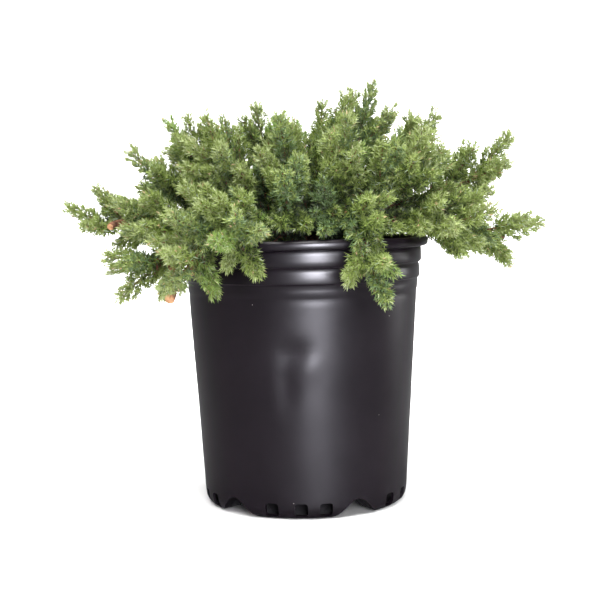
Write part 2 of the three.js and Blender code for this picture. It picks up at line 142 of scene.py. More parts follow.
def shader_of(material):
    """A material's node tree and the inputs of its Principled shader."""
    return material.node_tree, material.node_tree.nodes["Principled BSDF"].inputs


def new_material(name):
    """A new material, with the same two things."""
    material = bpy.data.materials.new(name)
    material.use_nodes = True
    return material, *shader_of(material)


# %% Floor sweep
FLOOR_SIZE = 6.0
WALL_Y = 1.7
WALL_HEIGHT = 3.5
SWEEP_RADIUS = 0.9

deselect()
bpy.ops.mesh.primitive_plane_add(size=FLOOR_SIZE, location=(0, WALL_Y - FLOOR_SIZE / 2, 0))
floor = bpy.context.object
floor.name = "studio_sweep"
settle(floor)
for edge in floor.data.edges:
    edge.select = all(floor.data.vertices[v].co.y > WALL_Y - 0.01 for v in edge.vertices)
edit("EDGE")
bpy.ops.mesh.extrude_edges_move(TRANSFORM_OT_translate={"value": (0, 0, WALL_HEIGHT)})
leave_edit()
curve_up = floor.modifiers.new("sweep", "BEVEL")
curve_up.width = SWEEP_RADIUS
curve_up.segments = 24
bpy.ops.object.modifier_apply(modifier="sweep")
bpy.ops.object.shade_smooth()
print("sweep:", len(floor.data.polygons), "faces")

# %% [markdown]
# Soft light comes from big panels, as in a light tent: a wide one over the plant, two in front,
# weak ones at the sides, and one for the wall. The strip in front is seen only in the black
# pot, as a broad pale stripe. The world adds a weak even glow. To the camera alone it is white, as
# the backdrop of the photograph is, and the pot hardly mirrors it.

# %% Lights
GLOW = 0.15
GLOSSY_SHARE = 0.15
BACKDROP = 5.0


def softbox(name, place, size, watts, aim=(0, 0, 0.2), tint=(1, 1, 1)):
    """A flat area light that faces a point of the plant."""
    bpy.ops.object.light_add(type="AREA", location=place)
    lamp = bpy.context.object
    lamp.name = name
    lamp.data.shape = "RECTANGLE"
    lamp.data.size, lamp.data.size_y = size
    lamp.data.energy = watts
    lamp.data.color = tint
    towards = Matrix.Translation(aim).translation - lamp.location
    lamp.rotation_euler = towards.to_track_quat("-Z", "Y").to_euler()
    return lamp


deselect()
softbox("softbox_top", (-0.15, -0.6, 1.8), (1.3, 1.1), 63)
softbox("softbox_front", (0.43, -1.8, 0.62), (0.6, 0.8), 18)
strip = softbox("softbox_strip", (0.38, -1.8, 0.42), (0.7, 0.8), 150, tint=(0.9, 0.9, 1))
strip.visible_diffuse = False
softbox("softbox_right", (1.5, 0.45, 0.7), (0.5, 1.4), 22)
softbox("softbox_left", (-1.6, -0.3, 0.9), (0.6, 1.2), 4.5, tint=(1, 0.88, 0.86))
softbox("softbox_wall", (0, 0.55, 2.3), (2.6, 0.8), 60, aim=(0, 1.9, 0.4))
world = bpy.data.worlds.new("studio_world")
bpy.context.scene.world = world
world.use_nodes = True
sky = world.node_tree
background = sky.nodes["Background"].inputs
ray = node(sky, "LightPath", {}).node.outputs
brightness = node(sky, "MapRange", {"Value": ray["Is Camera Ray"], "To Min": GLOW, "To Max": BACKDROP})
dimmed = {0: ray["Is Glossy Ray"], 1: GLOW * (GLOSSY_SHARE - 1), 2: brightness}
feed(sky, background["Color"], (1, 1, 1, 1))
feed(sky, background["Strength"], node(sky, "Math", dimmed, operation="MULTIPLY_ADD"))
bpy.context.scene.view_settings.view_transform = "Standard"

# %% [markdown]
# ## Finishes
#
# Most of the surfaces are uneven in the same way: two tones that drift into each other, and a
# relief that goes with them. One shader group holds that effect. It takes the size of the
# patches and the two tones, and gives a colour, a mask and a height.

# %% Shader group for uneven surfaces


def make_uneven_group():
    """A node group that blends two tones by layered noise."""
    group = bpy.data.node_groups.new("uneven_tones", "ShaderNodeTree")
    sockets = (
        ("INPUT", "Vector", ("Vector",)),
        ("INPUT", "Float", ("Scale", "Contrast")),
        ("INPUT", "Color", ("Dark Tone", "Light Tone")),
        ("OUTPUT", "Color", ("Color",)),
        ("OUTPUT", "Float", ("Mask", "Height")),
    )
    for direction, kind, names in sockets:
        for name in names:
            group.interface.new_socket(name, in_out=direction, socket_type="NodeSocket" + kind)
    entry = group.nodes.new("NodeGroupInput").outputs
    leave = group.nodes.new("NodeGroupOutput").inputs
    layers = {"Vector": entry["Vector"], "Scale": entry["Scale"], "Detail": 6, "Roughness": 0.62}
    noise = node(group, "TexNoise", layers, "Fac")
    centred = node(group, "Math", {0: noise, 1: 0.5}, operation="SUBTRACT")
    stretch = {0: centred, 1: entry["Contrast"], 2: 0.5}
    mask = node(group, "Math", stretch, operation="MULTIPLY_ADD", use_clamp=True)
    tones = {"Factor": mask, "A": entry["Dark Tone"], "B": entry["Light Tone"]}
    feed(group, leave["Color"], node(group, "Mix", tones, "Result", data_type="RGBA"))
    feed(group, leave["Mask"], mask)
    feed(group, leave["Height"], noise)
    return group


uneven_group = make_uneven_group()
print("group sockets:", len(uneven_group.interface.items_tree))

# %% A material with uneven tones


def uneven_material(name, dark, light, scale, contrast, roughness, bump, bump_mm):
    """A Principled material whose colour, roughness and relief come from the uneven group."""
    material, tree, shader = new_material(name)
    tones = {"Dark Tone": (*dark, 1), "Light Tone": (*light, 1)}
    values = {"Vector": place_on(tree), "Scale": scale, "Contrast": contrast, **tones}
    uneven = node(tree, "Group", values, node_tree=uneven_group).node.outputs
    gloss = {"Value": uneven["Mask"], "To Min": roughness[0], "To Max": roughness[1]}
    relief = {"Strength": bump, "Distance": bump_mm * MM, "Height": uneven["Height"]}
    feed(tree, shader["Base Color"], uneven["Color"])
    feed(tree, shader["Roughness"], node(tree, "MapRange", gloss))
    feed(tree, shader["Normal"], node(tree, "Bump", relief))
    return material


# %% [markdown]
# The pot is black blow-moulded plastic: satin outside, with a faint purple-grey cast and a few
# pale specks of grit, and dull with soil dust inside.

# %% Black plastic
BLACK = (0.0046, 0.0025, 0.005)
DUSTY_BLACK = (0.0088, 0.0052, 0.009)
PLASTIC_SPECULAR = 0.26
DUST_RADIUS = 84
DUST_FADE = 6
GRIT = (0.32, 0.3, 0.28)
GRIT_SCALE = 95
GRIT_SIZE = 0.035
GRIT_RARITY = 0.93


def blend_over(tree, socket, share, colour):
    """Lays a colour over what a socket is linked to, by a share."""
    mix = {"Factor": share, "A": socket.links[0].from_socket, "B": (*colour, 1)}
    feed(tree, socket, node(tree, "Mix", mix, "Result", data_type="RGBA"))


def add_grit(material):
    """Strews small pale specks: near the middle of some cells of a Voronoi pattern."""
    tree, shader = shader_of(material)
    cells = node(tree, "TexVoronoi", {"Vector": place_on(tree), "Scale": GRIT_SCALE}).node.outputs
    near = node(tree, "Math", {0: cells["Distance"], 1: GRIT_SIZE}, operation="LESS_THAN")
    number = node(tree, "SeparateColor", {"Color": cells["Color"]})
    few = node(tree, "Math", {0: number, 1: GRIT_RARITY}, operation="GREATER_THAN")
    specks = node(tree, "Math", {0: near, 1: few}, operation="MULTIPLY")
    blend_over(tree, shader["Base Color"], specks, GRIT)


def dull_inside(material, radius):
    """Roughens the skin nearer to the axis than a radius, where it is covered in soil dust."""
    tree, shader = shader_of(material)
    flat = node(tree, "VectorMath", {0: place_on(tree), 1: (1, 1, 0)}, operation="MULTIPLY")
    far = node(tree, "VectorMath", {0: flat}, "Value", operation="LENGTH")
    span = {"From Min": (radius - DUST_FADE) * MM, "From Max": radius * MM}
    fade = node(tree, "MapRange", {"Value": far, **span, "To Min": 1, "To Max": 0})
    duller = {0: shader["Roughness"].links[0].from_socket, 1: fade}
    feed(tree, shader["Roughness"], node(tree, "Math", duller, operation="MAXIMUM"))


black_plastic = uneven_material("black_plastic", BLACK, DUSTY_BLACK, 14, 1.6, (0.28, 0.38), 0.12, 0.6)
add_grit(black_plastic)
dull_inside(black_plastic, DUST_RADIUS)
shader_of(black_plastic)[1]["Specular IOR Level"].default_value = PLASTIC_SPECULAR
print("made", black_plastic.name)

# %% Soil, bark and wood finishes
BARK_SPECULAR = 0.15
FINISHES = {
    "potting_mix": ((0.02, 0.012, 0.008), (0.1, 0.06, 0.035), 160, 3, (0.9, 1), 1, 2),
    "red_bark": ((0.07, 0.028, 0.016), (0.34, 0.16, 0.09), 130, 2.6, (0.75, 0.95), 0.7, 0.6),
    "chip_bark": ((0.05, 0.025, 0.014), (0.2, 0.11, 0.06), 190, 3, (0.85, 1), 0.8, 0.8),
    "green_wood": ((0.1, 0.09, 0.03), (0.22, 0.2, 0.075), 240, 2.4, (0.6, 0.8), 0.3, 0.3),
    "cut_wood": ((0.3, 0.13, 0.06), (0.58, 0.34, 0.18), 320, 2.8, (0.7, 0.9), 0.4, 0.3),
    "studio_paint": ((0.82,) * 3, (0.86,) * 3, 2, 1, (0.8, 0.95), 0.02, 0.2),
}
made = [uneven_material(name, *values) for name, values in FINISHES.items()]
potting_mix, red_bark, chip_bark, green_wood, cut_wood, studio_paint = made
for wood in (potting_mix, red_bark, chip_bark, cut_wood):
    shader_of(wood)[1]["Specular IOR Level"].default_value = BARK_SPECULAR
print("finishes:", len(bpy.data.materials))

# %% [markdown]
# Two touches keep the sweep out of the picture. In reflections it is nearly black, as black cards
# beside the pot would make it. Away from the plant the camera sees it as pure white.

# %% Paint on the sweep
MIRRORED_TONE = 0.12
WHITE_FROM = 0.5
WHITE_BEYOND = 1


def flag_off(material, tone):
    """Darkens a surface in reflections alone."""
    tree, shader = shader_of(material)
    mirrored = node(tree, "LightPath", {}, "Is Glossy Ray")
    blend_over(tree, shader["Base Color"], mirrored, (tone,) * 3)


def whiten_far(material, near, far):
    """Makes a surface glow white to the camera alone, from a distance outwards."""
    tree, shader = shader_of(material)
    away = node(tree, "VectorMath", {0: place_on(tree)}, "Value", operation="LENGTH")
    fade = node(tree, "MapRange", {"Value": away, "From Min": near, "From Max": far})
    seen = node(tree, "LightPath", {}, "Is Camera Ray")
    feed(tree, shader["Emission Color"], (1, 1, 1, 1))
    feed(tree, shader["Emission Strength"], node(tree, "Math", {0: fade, 1: seen}, operation="MULTIPLY"))


flag_off(studio_paint, MIRRORED_TONE)
whiten_far(studio_paint, WHITE_FROM, WHITE_BEYOND)
floor.data.materials.append(studio_paint)
print("sweep painted with", studio_paint.name)

# %% [markdown]
# ## The pot
#
# A nursery pot is blown in a mould, so its wall is one thin skin: a rolled lip, two ribs below
# it, a long taper, and a hollow foot ring with scoops between five feet. It is made as on a
# lathe: a circle is extruded ring by ring through the radii and heights of the outer skin, and
# another through those of the hollow. Booleans then cut the scoops, take the hollow out of the
# skin, and cut three drain windows through each foot.

# %% Sizes of the pot, in millimetres
POT_HEIGHT = 237
RIM_RADIUS = 113
BAND_RADIUS = 107
WALL_TOP_RADIUS = 103.4
WALL_FOOT_RADIUS = 91.5
UPPER_GROOVE_Z = 213.5
LOWER_STEP_Z = 200
LIP_Z = 229
FLOOR_Z = 11
FOOT_INNER_RADIUS = 68
WALL = 2.2
POT_SIDES = 160
WALL_RING_STEP = 5
FOOT_COUNT = 5
FRONT_FOOT_DEG = -7


def wall_radius(height):
    """The outer radius of the tapering wall at a height."""
    share = (height - FLOOR_Z) / (LOWER_STEP_Z - FLOOR_Z)
    return WALL_FOOT_RADIUS + (WALL_TOP_RADIUS - WALL_FOOT_RADIUS) * share


wall_heights = np.arange(15, LOWER_STEP_Z - 14, WALL_RING_STEP)
outer_profile = [
    (0.5, 0), (16, 0), (20, 8.8), (64, 8.8), (66.6, 7), (68, 1), (70, 0), (82, 0), (86, 0.7), (89.2, 3),
    (90.8, 6.5), (91.4, 10.5),
    *[(wall_radius(z), z) for z in wall_heights],
    (102.4, 187.6), (102.7, 189.5), (103.2, 191.5), (103.5, 195), (103.6, 199.3), (104.1, 200.3),
    (105.1, 201), (105.4, 202.5), (105.4, 206), (105.4, 209.5), (105.1, 211.6), (104.5, 213),
    (104.9, 214), (106.4, 214.8), (107, 216.4), (107, 220), (107, 224), (106.8, 226.6), (106.1, 227.9),
    (107.4, 228.6), (111.3, 228.8), (112.5, 229.6), (113, 231.2), (113, 233.6), (112.6, 235.4),
    (111.2, 236.7), (109.2, 237), (107.2, 236.6), (105.6, 237), (0.5, 237),
]
inner_profile = [
    (0.5, FLOOR_Z), (65, FLOOR_Z), (69.5, 3), (71.5, WALL), (82, WALL), (86, 3.6), (88, 6.4), (89.1, 11),
    *[(wall_radius(z) - WALL, z) for z in wall_heights],
    (100.6, 188), (101.3, 200), (103, 203), (103, 213), (104.4, 216), (104.8, 225), (104.8, 234),
    (104.8, 245), (0.5, 245),
]
print("rings on the pot:", len(outer_profile))

# %% A lathe made of extruded rings


def lathe(name, profile, sides):
    """Extrudes a circle through a profile of (radius, height) pairs and closes both ends."""
    deselect()
    radius, height = profile[0]
    bpy.ops.mesh.primitive_circle_add(
        vertices=sides, radius=radius * MM, location=(0, 0, height * MM), fill_type="NGON"
    )
    turned = bpy.context.object
    turned.name = name
    settle(turned)
    edit("EDGE")
    bpy.ops.mesh.select_all(action="SELECT")
    bpy.ops.mesh.duplicate()
    bpy.ops.mesh.delete(type="ONLY_FACE")
    leave_edit()
    ring = range(sides, 2 * sides)
    for edge in turned.data.edges:
        edge.select = all(v in ring for v in edge.vertices)
    for vertex in turned.data.vertices:
        vertex.select = vertex.index in ring
    edit("EDGE")
    for wider, higher in profile[1:]:
        bpy.ops.mesh.extrude_edges_move()
        grow_chosen(wider / radius, 1, wider / radius)
        bpy.ops.transform.translate(value=(0, 0, (higher - height) * MM))
        radius, height = wider, higher
    bpy.ops.mesh.edge_face_add()
    bpy.ops.mesh.select_all(action="SELECT")
    bpy.ops.mesh.remove_doubles(threshold=1e-6)
    bpy.ops.mesh.normals_make_consistent(inside=False)
    leave_edit()
    return turned


pot = lathe("pot_shell", outer_profile, POT_SIDES)
pot_hollow = lathe("pot_hollow", inner_profile, POT_SIDES)
print("outer skin faces:", len(pot.data.polygons), "hollow faces:", len(pot_hollow.data.polygons))

# %% [markdown]
# Between two feet the mould leaves a scoop, low at the middle of the pot and tall at the wall. Its
# cutter is a cylinder on its side, its upper half set to a raised cosine, whose outer end is scaled
# up. The same cutter, one wall thicker, is taken off the hollow first, so that the plastic runs
# round each scoop.

# %% Scoops and drain windows
SCOOP_START = 65
SCOOP_END = 99.5
SCOOP_HALF_WIDTH = 14
SCOOP_HEIGHT = 3.5
SCOOP_SPREAD = 11
SCOOP_RISE = 12
WINDOW_PLACES = (-12, 4, 17.5)
WINDOW_RADIUS = 90.5
WINDOW_SIZE = (11.2, 14, 11.6)
WINDOW_MIDDLE_Z = 8.2
WINDOW_CORNER = 2.5


def cut_with(piece, cutter):
    """Takes the cutter's shape out of a piece, and removes the cutter."""
    choose(piece)
    cut = piece.modifiers.new("cut", "BOOLEAN")
    cut.solver = "MANIFOLD"
    cut.object = cutter
    bpy.ops.object.modifier_apply(modifier="cut")
    bpy.data.objects.remove(cutter)


def turn_about_axis(piece, degrees):
    """Turns a piece about the pot's axis and settles it."""
    piece.rotation_euler = (0, 0, radians(degrees))
    settle(piece)
    return piece


def scoop_cutter(degrees, grow):
    """A cylinder along a radius of the pot, shaped to a bell that is taller and wider at the wall."""
    deselect()
    middle = -(SCOOP_START + SCOOP_END) / 2
    bpy.ops.mesh.primitive_cylinder_add(
        vertices=40, radius=1, depth=(SCOOP_END - SCOOP_START) * MM,
        location=(0, middle * MM, 0), rotation=(pi / 2, 0, 0),
    )
    cutter = bpy.context.object
    half, height = SCOOP_HALF_WIDTH + grow, SCOOP_HEIGHT + grow
    cutter.scale = (half * MM, height * MM, 1)
    settle(cutter)
    for vertex in cutter.data.vertices:
        vertex.select = vertex.co.y < middle * MM
        if vertex.co.z > 0:
            vertex.co.z = height * MM * (1 + cos(pi * vertex.co.x / (half * MM))) / 2
    edit("VERT")
    grow_chosen((half + SCOOP_SPREAD) / half, (height + SCOOP_RISE) / height)
    leave_edit()
    return turn_about_axis(cutter, degrees)


def window_cutter(degrees):
    """A block with a rounded top, set across the wall of a foot."""
    deselect()
    bpy.ops.mesh.primitive_cube_add(size=MM, location=(0, -WINDOW_RADIUS * MM, WINDOW_MIDDLE_Z * MM))
    cutter = bpy.context.object
    cutter.scale = WINDOW_SIZE
    settle(cutter)
    for edge in cutter.data.edges:
        first, last = (cutter.data.vertices[v].co for v in edge.vertices)
        upper = min(first.z, last.z) > WINDOW_MIDDLE_Z * MM
        edge.select = upper and abs(first.x - last.x) < 1e-6
    edit("EDGE")
    bpy.ops.mesh.bevel(offset=WINDOW_CORNER * MM, segments=4)
    leave_edit()
    return turn_about_axis(cutter, degrees)


foot_places = [FRONT_FOOT_DEG + foot * 360 / FOOT_COUNT for foot in range(FOOT_COUNT)]
for foot in foot_places:
    cut_with(pot, scoop_cutter(foot + 180 / FOOT_COUNT, 0))
    cut_with(pot_hollow, scoop_cutter(foot + 180 / FOOT_COUNT, WALL))
cut_with(pot, pot_hollow)
for foot in foot_places:
    for beside in WINDOW_PLACES:
        cut_with(pot, window_cutter(foot + beside))
print("pot after the cuts:", len(pot.data.polygons), "faces")

# %% [markdown]
# A real pot is never quite round. The lip waves where hands have lifted it, and the thin wall has
# a dent, a little left of the middle, with a crease under it. Points are moved by smooth falls
# from a few centres, which leaves the skin whole.

# %% Waves and dents
LIP_WAVES = ((2, 0.9, 0.4), (3, 0.7, 2.1), (5, 0.35, 1.0), (9, 0.15, 0.3))
LIP_BOB = 0.5
WAVES_FROM_Z = 150
WAVES_SPAN = 80
CREASE_ANGLE = 38
DENT_KEYS = ("degrees", "height", "depth", "wide", "tall")
DENTS = (
    (-5, 143, 1.6, 13, 9), (-9, 118, 1.5, 9, 26), (3, 131, -0.5, 9, 12),
    (31, 92, 0.8, 30, 42), (168, 120, 1.8, 22, 30), (-98, 96, 1.2, 20, 34),
)


def read_points(piece):
    """The mesh's points as an array, in millimetres."""
    points = np.empty(len(piece.data.vertices) * 3)
    piece.data.vertices.foreach_get("co", points)
    return points.reshape(-1, 3) / MM


def write_points(piece, points):
    """Writes an array of points, in millimetres, back to the mesh."""
    piece.data.vertices.foreach_set("co", (points * MM).ravel())
    piece.data.update()


points = read_points(pot)
around = np.arctan2(points[:, 0], -points[:, 1])
radius = np.hypot(points[:, 0], points[:, 1])
upper = np.clip((points[:, 2] - WAVES_FROM_Z) / WAVES_SPAN, 0, 1) ** 2
push = sum(size * np.sin(count * around + phase) for count, size, phase in LIP_WAVES) * upper
for dent in (dict(zip(DENT_KEYS, row)) for row in DENTS):
    turn = np.angle(np.exp(1j * (around - radians(dent["degrees"]))))
    across = turn * radius / dent["wide"]
    above = (points[:, 2] - dent["height"]) / dent["tall"]
    push = push - dent["depth"] * np.exp(-(across**2) - above**2) * (radius > FOOT_INNER_RADIUS)
points[:, :2] *= ((radius + push) / np.maximum(radius, 1e-6))[:, None]
points[:, 2] += upper * LIP_BOB * np.sin(4 * around + 0.8) * (points[:, 2] > LIP_Z - 6)
write_points(pot, points)
pot.data.materials.clear()
pot.data.materials.append(black_plastic)
choose(pot)
bpy.ops.object.shade_smooth_by_angle(angle=radians(CREASE_ANGLE))
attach(pot, "root")
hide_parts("pot")
print("pot reaches", round(float(radius.max()), 1), "mm from its axis")

# %% [markdown]
# ## The potting mix
#
# Little of the mix shows, but whoever looks between the plumes must see soil and not a lid.
# A cylinder is drawn in at its foot to clear the hollow feet, its top is inset into many rings,
# and the rings are roughened. Chips lie on it.

# %% Soil body
SOIL_Z = 212
SOIL_FOOT_Z = 11.4
SOIL_GAP = 0.4
SOIL_RINGS = 26
SOIL_ROUGHNESS = 2.4
SOIL_EDGE_DROP = 5
SOIL_FOOT_RADIUS = 58
SOIL_SEED = 71

soil_radius = WALL_TOP_RADIUS - WALL - SOIL_GAP
deselect()
bpy.ops.mesh.primitive_cylinder_add(
    vertices=120, radius=soil_radius * MM, depth=(SOIL_Z - SOIL_FOOT_Z) * MM,
    location=(0, 0, (SOIL_Z + SOIL_FOOT_Z) / 2 * MM),
)
soil = bpy.context.object
soil.name = "potting_mix"
settle(soil)
for face in soil.data.polygons:
    face.select = face.normal.z < -0.9
edit("FACE")
foot_share = SOIL_FOOT_RADIUS / soil_radius
grow_chosen(foot_share, 1, foot_share)
bpy.ops.mesh.select_all(action="DESELECT")
leave_edit()
for face in soil.data.polygons:
    face.select = face.normal.z > 0.9
edit("FACE")
for _ in range(SOIL_RINGS):
    bpy.ops.mesh.inset(thickness=soil_radius / (SOIL_RINGS + 1) * MM)
leave_edit()
random = np.random.default_rng(SOIL_SEED)
points = read_points(soil)
top = points[:, 2] > SOIL_Z - 1
inside = np.hypot(points[:, 0], points[:, 1]) < soil_radius - 1
points[top & inside, 2] += random.uniform(-SOIL_ROUGHNESS, SOIL_ROUGHNESS, (top & inside).sum())
points[top & ~inside, 2] -= SOIL_EDGE_DROP
write_points(soil, points)
soil.data.materials.append(potting_mix)
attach(soil, "root")
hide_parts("soil")
print("soil faces:", len(soil.data.polygons))

# %% Meshes from arrays


def mesh_piece(name, points, faces, material, slot, smooth=False):
    """One joined piece from arrays of points, in millimetres, and faces of equal size."""
    mesh = bpy.data.meshes.new(name)
    corners = faces.shape[1]
    mesh.vertices.add(len(points))
    mesh.vertices.foreach_set("co", (points * MM).astype(np.float32).ravel())
    mesh.loops.add(faces.size)
    mesh.loops.foreach_set("vertex_index", faces.astype(np.int32).ravel())
    mesh.polygons.add(len(faces))
    mesh.polygons.foreach_set("loop_start", np.arange(0, faces.size, corners, dtype=np.int32))
    mesh.polygons.foreach_set("use_smooth", np.full(len(faces), smooth))
    mesh.update(calc_edges=True)
    mesh.materials.append(material)
    piece = bpy.data.objects.new(name, mesh)
    bpy.context.scene.collection.objects.link(piece)
    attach(piece, "root")
    return piece


# %% Bark chips on the soil
CHIP_COUNT = 900
CHIP_SIDES = ((3, 11), (2, 5), (0.8, 2.2))
CHIP_MARGIN = 8
CUBE_FACES = np.array([[0, 2, 3, 1], [4, 5, 7, 6], [0, 1, 5, 4], [2, 6, 7, 3], [0, 4, 6, 2], [1, 3, 7, 5]])


def turn_boxes(points, first, second, angle):
    """Boxes of points, each turned by its own angle from one axis towards another."""
    cosine, sine = np.cos(angle)[:, None], np.sin(angle)[:, None]
    result = points.copy()
    result[..., first] = points[..., first] * cosine - points[..., second] * sine
    result[..., second] = points[..., first] * sine + points[..., second] * cosine
    return result


corner = np.array([[x, y, z] for x in (-0.5, 0.5) for y in (-0.5, 0.5) for z in (-0.5, 0.5)])
size = np.stack([random.uniform(*sides, CHIP_COUNT) for sides in CHIP_SIDES], axis=1)
chips = corner[None] * size[:, None] * random.uniform(0.7, 1.2, (CHIP_COUNT, 8, 1))
turn, tip = random.uniform(0, 2 * pi, CHIP_COUNT), random.normal(0, 0.3, CHIP_COUNT)
chips = turn_boxes(turn_boxes(chips, 0, 2, tip), 0, 1, turn)
far = (soil_radius - CHIP_MARGIN) * np.sqrt(random.uniform(0.03, 1, CHIP_COUNT))
angle = random.uniform(0, 2 * pi, CHIP_COUNT)
height = random.uniform(SOIL_Z - 1, SOIL_Z + 2.5, CHIP_COUNT)
lie = np.stack([far * np.cos(angle), far * np.sin(angle), height], axis=1)
chips = (chips + lie[:, None]).reshape(-1, 3)
chip_faces = (np.arange(CHIP_COUNT)[:, None, None] * 8 + CUBE_FACES[None]).reshape(-1, 4)
mesh_piece("bark_chips", chips, chip_faces, chip_bark, "potting_mix")
print("chips:", CHIP_COUNT)

# %% [markdown]
# ## Trunk and boughs
#
# The plant forks just above the soil. One short trunk carries a bough for each mass of foliage,
# and each mass has a stem that carries on from its bough. A row of the table says where the bough
# ends (heart), where the stem ends (tip), how high on the trunk the bough starts, how many main
# sprays the mass has and how long they are. The limbs are Bezier curves through those places.

# %% The table of masses, in millimetres
MASS_ROWS = [
    ("far_left", (-80, -3, 248), (-181, -3, 246), 223, 6, 0.88),
    ("left_shoulder", (-62, 8, 262), (-121, 8, 280), 240, 6, 1),
    ("left_low", (-74, -34, 253), (-127, -62, 208), 234, 6, 0.94),
    ("left_hanging", (-52, -58, 254), (-94, -110, 210), 226, 6, 0.9),
    ("upper_left", (-40, 8, 276), (-94, 10, 298), 252, 6, 1),
    ("front_left", (-32, -62, 252), (-56, -122, 236), 239, 6, 0.9),
    ("inner_left", (-34, -24, 266), (-66, -46, 294), 245, 5, 1),
    ("top_left", (-16, 2, 280), (-30, 0, 302), 258, 5, 1),
    ("front_low", (-6, -46, 252), (-12, -98, 260), 230, 5, 0.9),
    ("front_low_right", (16, -44, 252), (26, -94, 258), 239, 5, 0.85),
    ("front_middle", (-4, -26, 268), (-12, -56, 290), 250, 5, 1),
    ("top_right", (26, 2, 282), (54, 0, 318), 257, 6, 1.05),
    ("inner_right", (22, -28, 266), (34, -58, 292), 248, 5, 1),
    ("front_hanging", (32, -68, 256), (58, -134, 196), 226, 6, 0.78),
    ("front_right", (46, -32, 262), (86, -64, 284), 243, 6, 1),
    ("upper_right", (50, 4, 272), (102, 2, 298), 250, 6, 1),
    ("right_shoulder", (74, 10, 262), (165, 12, 288), 239, 6, 1),
    ("far_right", (82, -14, 248), (180, -16, 233), 223, 6, 0.9),
    ("right_low", (68, -44, 251), (126, -72, 243), 231, 6, 0.92),
    ("back_left", (-44, 36, 262), (-96, 74, 290), 246, 6, 1),
    ("back_top", (7, 32, 275), (18, 66, 314), 253, 5, 1),
    ("back_right", (40, 40, 262), (88, 76, 292), 244, 6, 1),
    ("right_back", (76, 36, 250), (146, 70, 252), 229, 5, 1),
    ("left_back_low", (-74, 38, 250), (-148, 72, 250), 229, 5, 1),
    ("back_low_left", (-52, 66, 251), (-96, 128, 244), 234, 6, 1),
    ("back_low", (-2, 78, 252), (-8, 146, 248), 224, 6, 1),
    ("back_low_right", (46, 72, 251), (84, 132, 244), 235, 6, 1),
]
MASS_KEYS = ("name", "heart", "tip", "root", "sprays", "size")
MASSES = [dict(zip(MASS_KEYS, row)) for row in MASS_ROWS]
for mass in MASSES:
    mass |= {"heart": np.array(mass["heart"]), "tip": np.array(mass["tip"])}
print("masses:", len(MASSES))

# %% Curves of the limbs
TRUNK_TOP_Z = 262
TRUNK_ROOT_RADIUS = 15
TRUNK_RADIUS = 9
TRUNK_TIP_RADIUS = 6
TRUNK_LEAN = 5
FLARE_SHARE = 0.3
BOUGH_ARCH = 0.03
THINNEST_BOUGH = 2.6
THICKEST_BOUGH = 3.5
BOUGH_TIP_RADIUS = 2.4
STEM_ROOT_RADIUS = 2.3
STEM_TIP_RADIUS = 1.5
STEM_BEND = 0.45
SEAT_GAP = 0.3
UP = np.array([0.0, 0.0, 1.0])
POT_AXIS_POINT = np.array([0.0, 0.0, SOIL_Z])


def unit(vectors):
    """Vectors scaled to length one."""
    return vectors / np.linalg.norm(vectors, axis=-1, keepdims=True)


def curve_points(curve, share):
    """Places on a Bezier curve of three points at shares of its length, from 0 to 1."""
    share = np.asarray(share, float)[..., None]
    start, bend, end = np.moveaxis(np.asarray(curve, float), -2, 0)
    return (1 - share) ** 2 * start + 2 * (1 - share) * share * bend + share**2 * end


def curve_direction(curve, share):
    """The curve's direction there."""
    share = np.asarray(share, float)[..., None]
    start, bend, end = np.moveaxis(np.asarray(curve, float), -2, 0)
    return unit((1 - share) * (bend - start) + share * (end - bend))


trunk_curve = np.array(
    [
        (0, 0, SOIL_Z + SEAT_GAP),
        (0, 0, (SOIL_Z + TRUNK_TOP_Z) / 2),
        (TRUNK_LEAN, -TRUNK_LEAN * 0.4, TRUNK_TOP_Z),
    ]
)


def trunk_radius(share):
    """The trunk's radius, with the flare at its root."""
    flare = (TRUNK_ROOT_RADIUS - TRUNK_RADIUS) * np.maximum(0, 1 - share / FLARE_SHARE) ** 2
    return TRUNK_RADIUS + (TRUNK_TIP_RADIUS - TRUNK_RADIUS) * share + flare


def bough_curve(mass):
    """The bough leaves the trunk low and bends to the heart of its mass."""
    share = (mass["root"] - SOIL_Z) / (TRUNK_TOP_Z - SOIL_Z)
    root = curve_points(trunk_curve, share)
    away = mass["heart"] - root
    away[2] = 0
    start = root + unit(away) * trunk_radius(share) * 0.5
    span = np.linalg.norm(mass["heart"] - start)
    return np.array([start, (start + mass["heart"]) / 2 + UP * BOUGH_ARCH * span, mass["heart"]])


def bough_radius(mass, share):
    """The bough's radius: longer boughs are thicker at the trunk."""
    span = np.linalg.norm(mass["heart"] - POT_AXIS_POINT)
    thick = np.clip(2 + span / 80, THINNEST_BOUGH, THICKEST_BOUGH)
    return thick + (BOUGH_TIP_RADIUS - thick) * share


def stem_curve(mass, bough):
    """The stem carries the bough's line on, bends a little and ends in the mass."""
    forward = curve_direction(bough, 1)
    length = np.linalg.norm(mass["tip"] - mass["heart"])
    bend = mass["heart"] + forward * STEM_BEND * length
    return np.array([mass["heart"] + forward * SEAT_GAP, bend, mass["tip"]])


def stem_radius(share):
    """The stem's radius."""
    return STEM_ROOT_RADIUS + (STEM_TIP_RADIUS - STEM_ROOT_RADIUS) * share


boughs = [bough_curve(mass) for mass in MASSES]
stems = [stem_curve(mass, bough) for mass, bough in zip(MASSES, boughs)]
print("longest bough:", round(max(np.linalg.norm(b[2] - b[0]) for b in boughs)), "mm")

# %% [markdown]
# Juniper bark peels in long thin strips that wind a little round the limb. The limb is a tube of
# many rings, raised and lowered by ridges that run along it, drift round it and break off, and by
# a few slow swellings.

# %% Limbs with bark
STRIP_COUNTS = (5, 8, 13)
BARK_RELIEF = 0.1
TWIST = 2
BREAK_LENGTHS = (3, 7)
SWELLINGS = 9
SWELLING_SIZE = 0.35


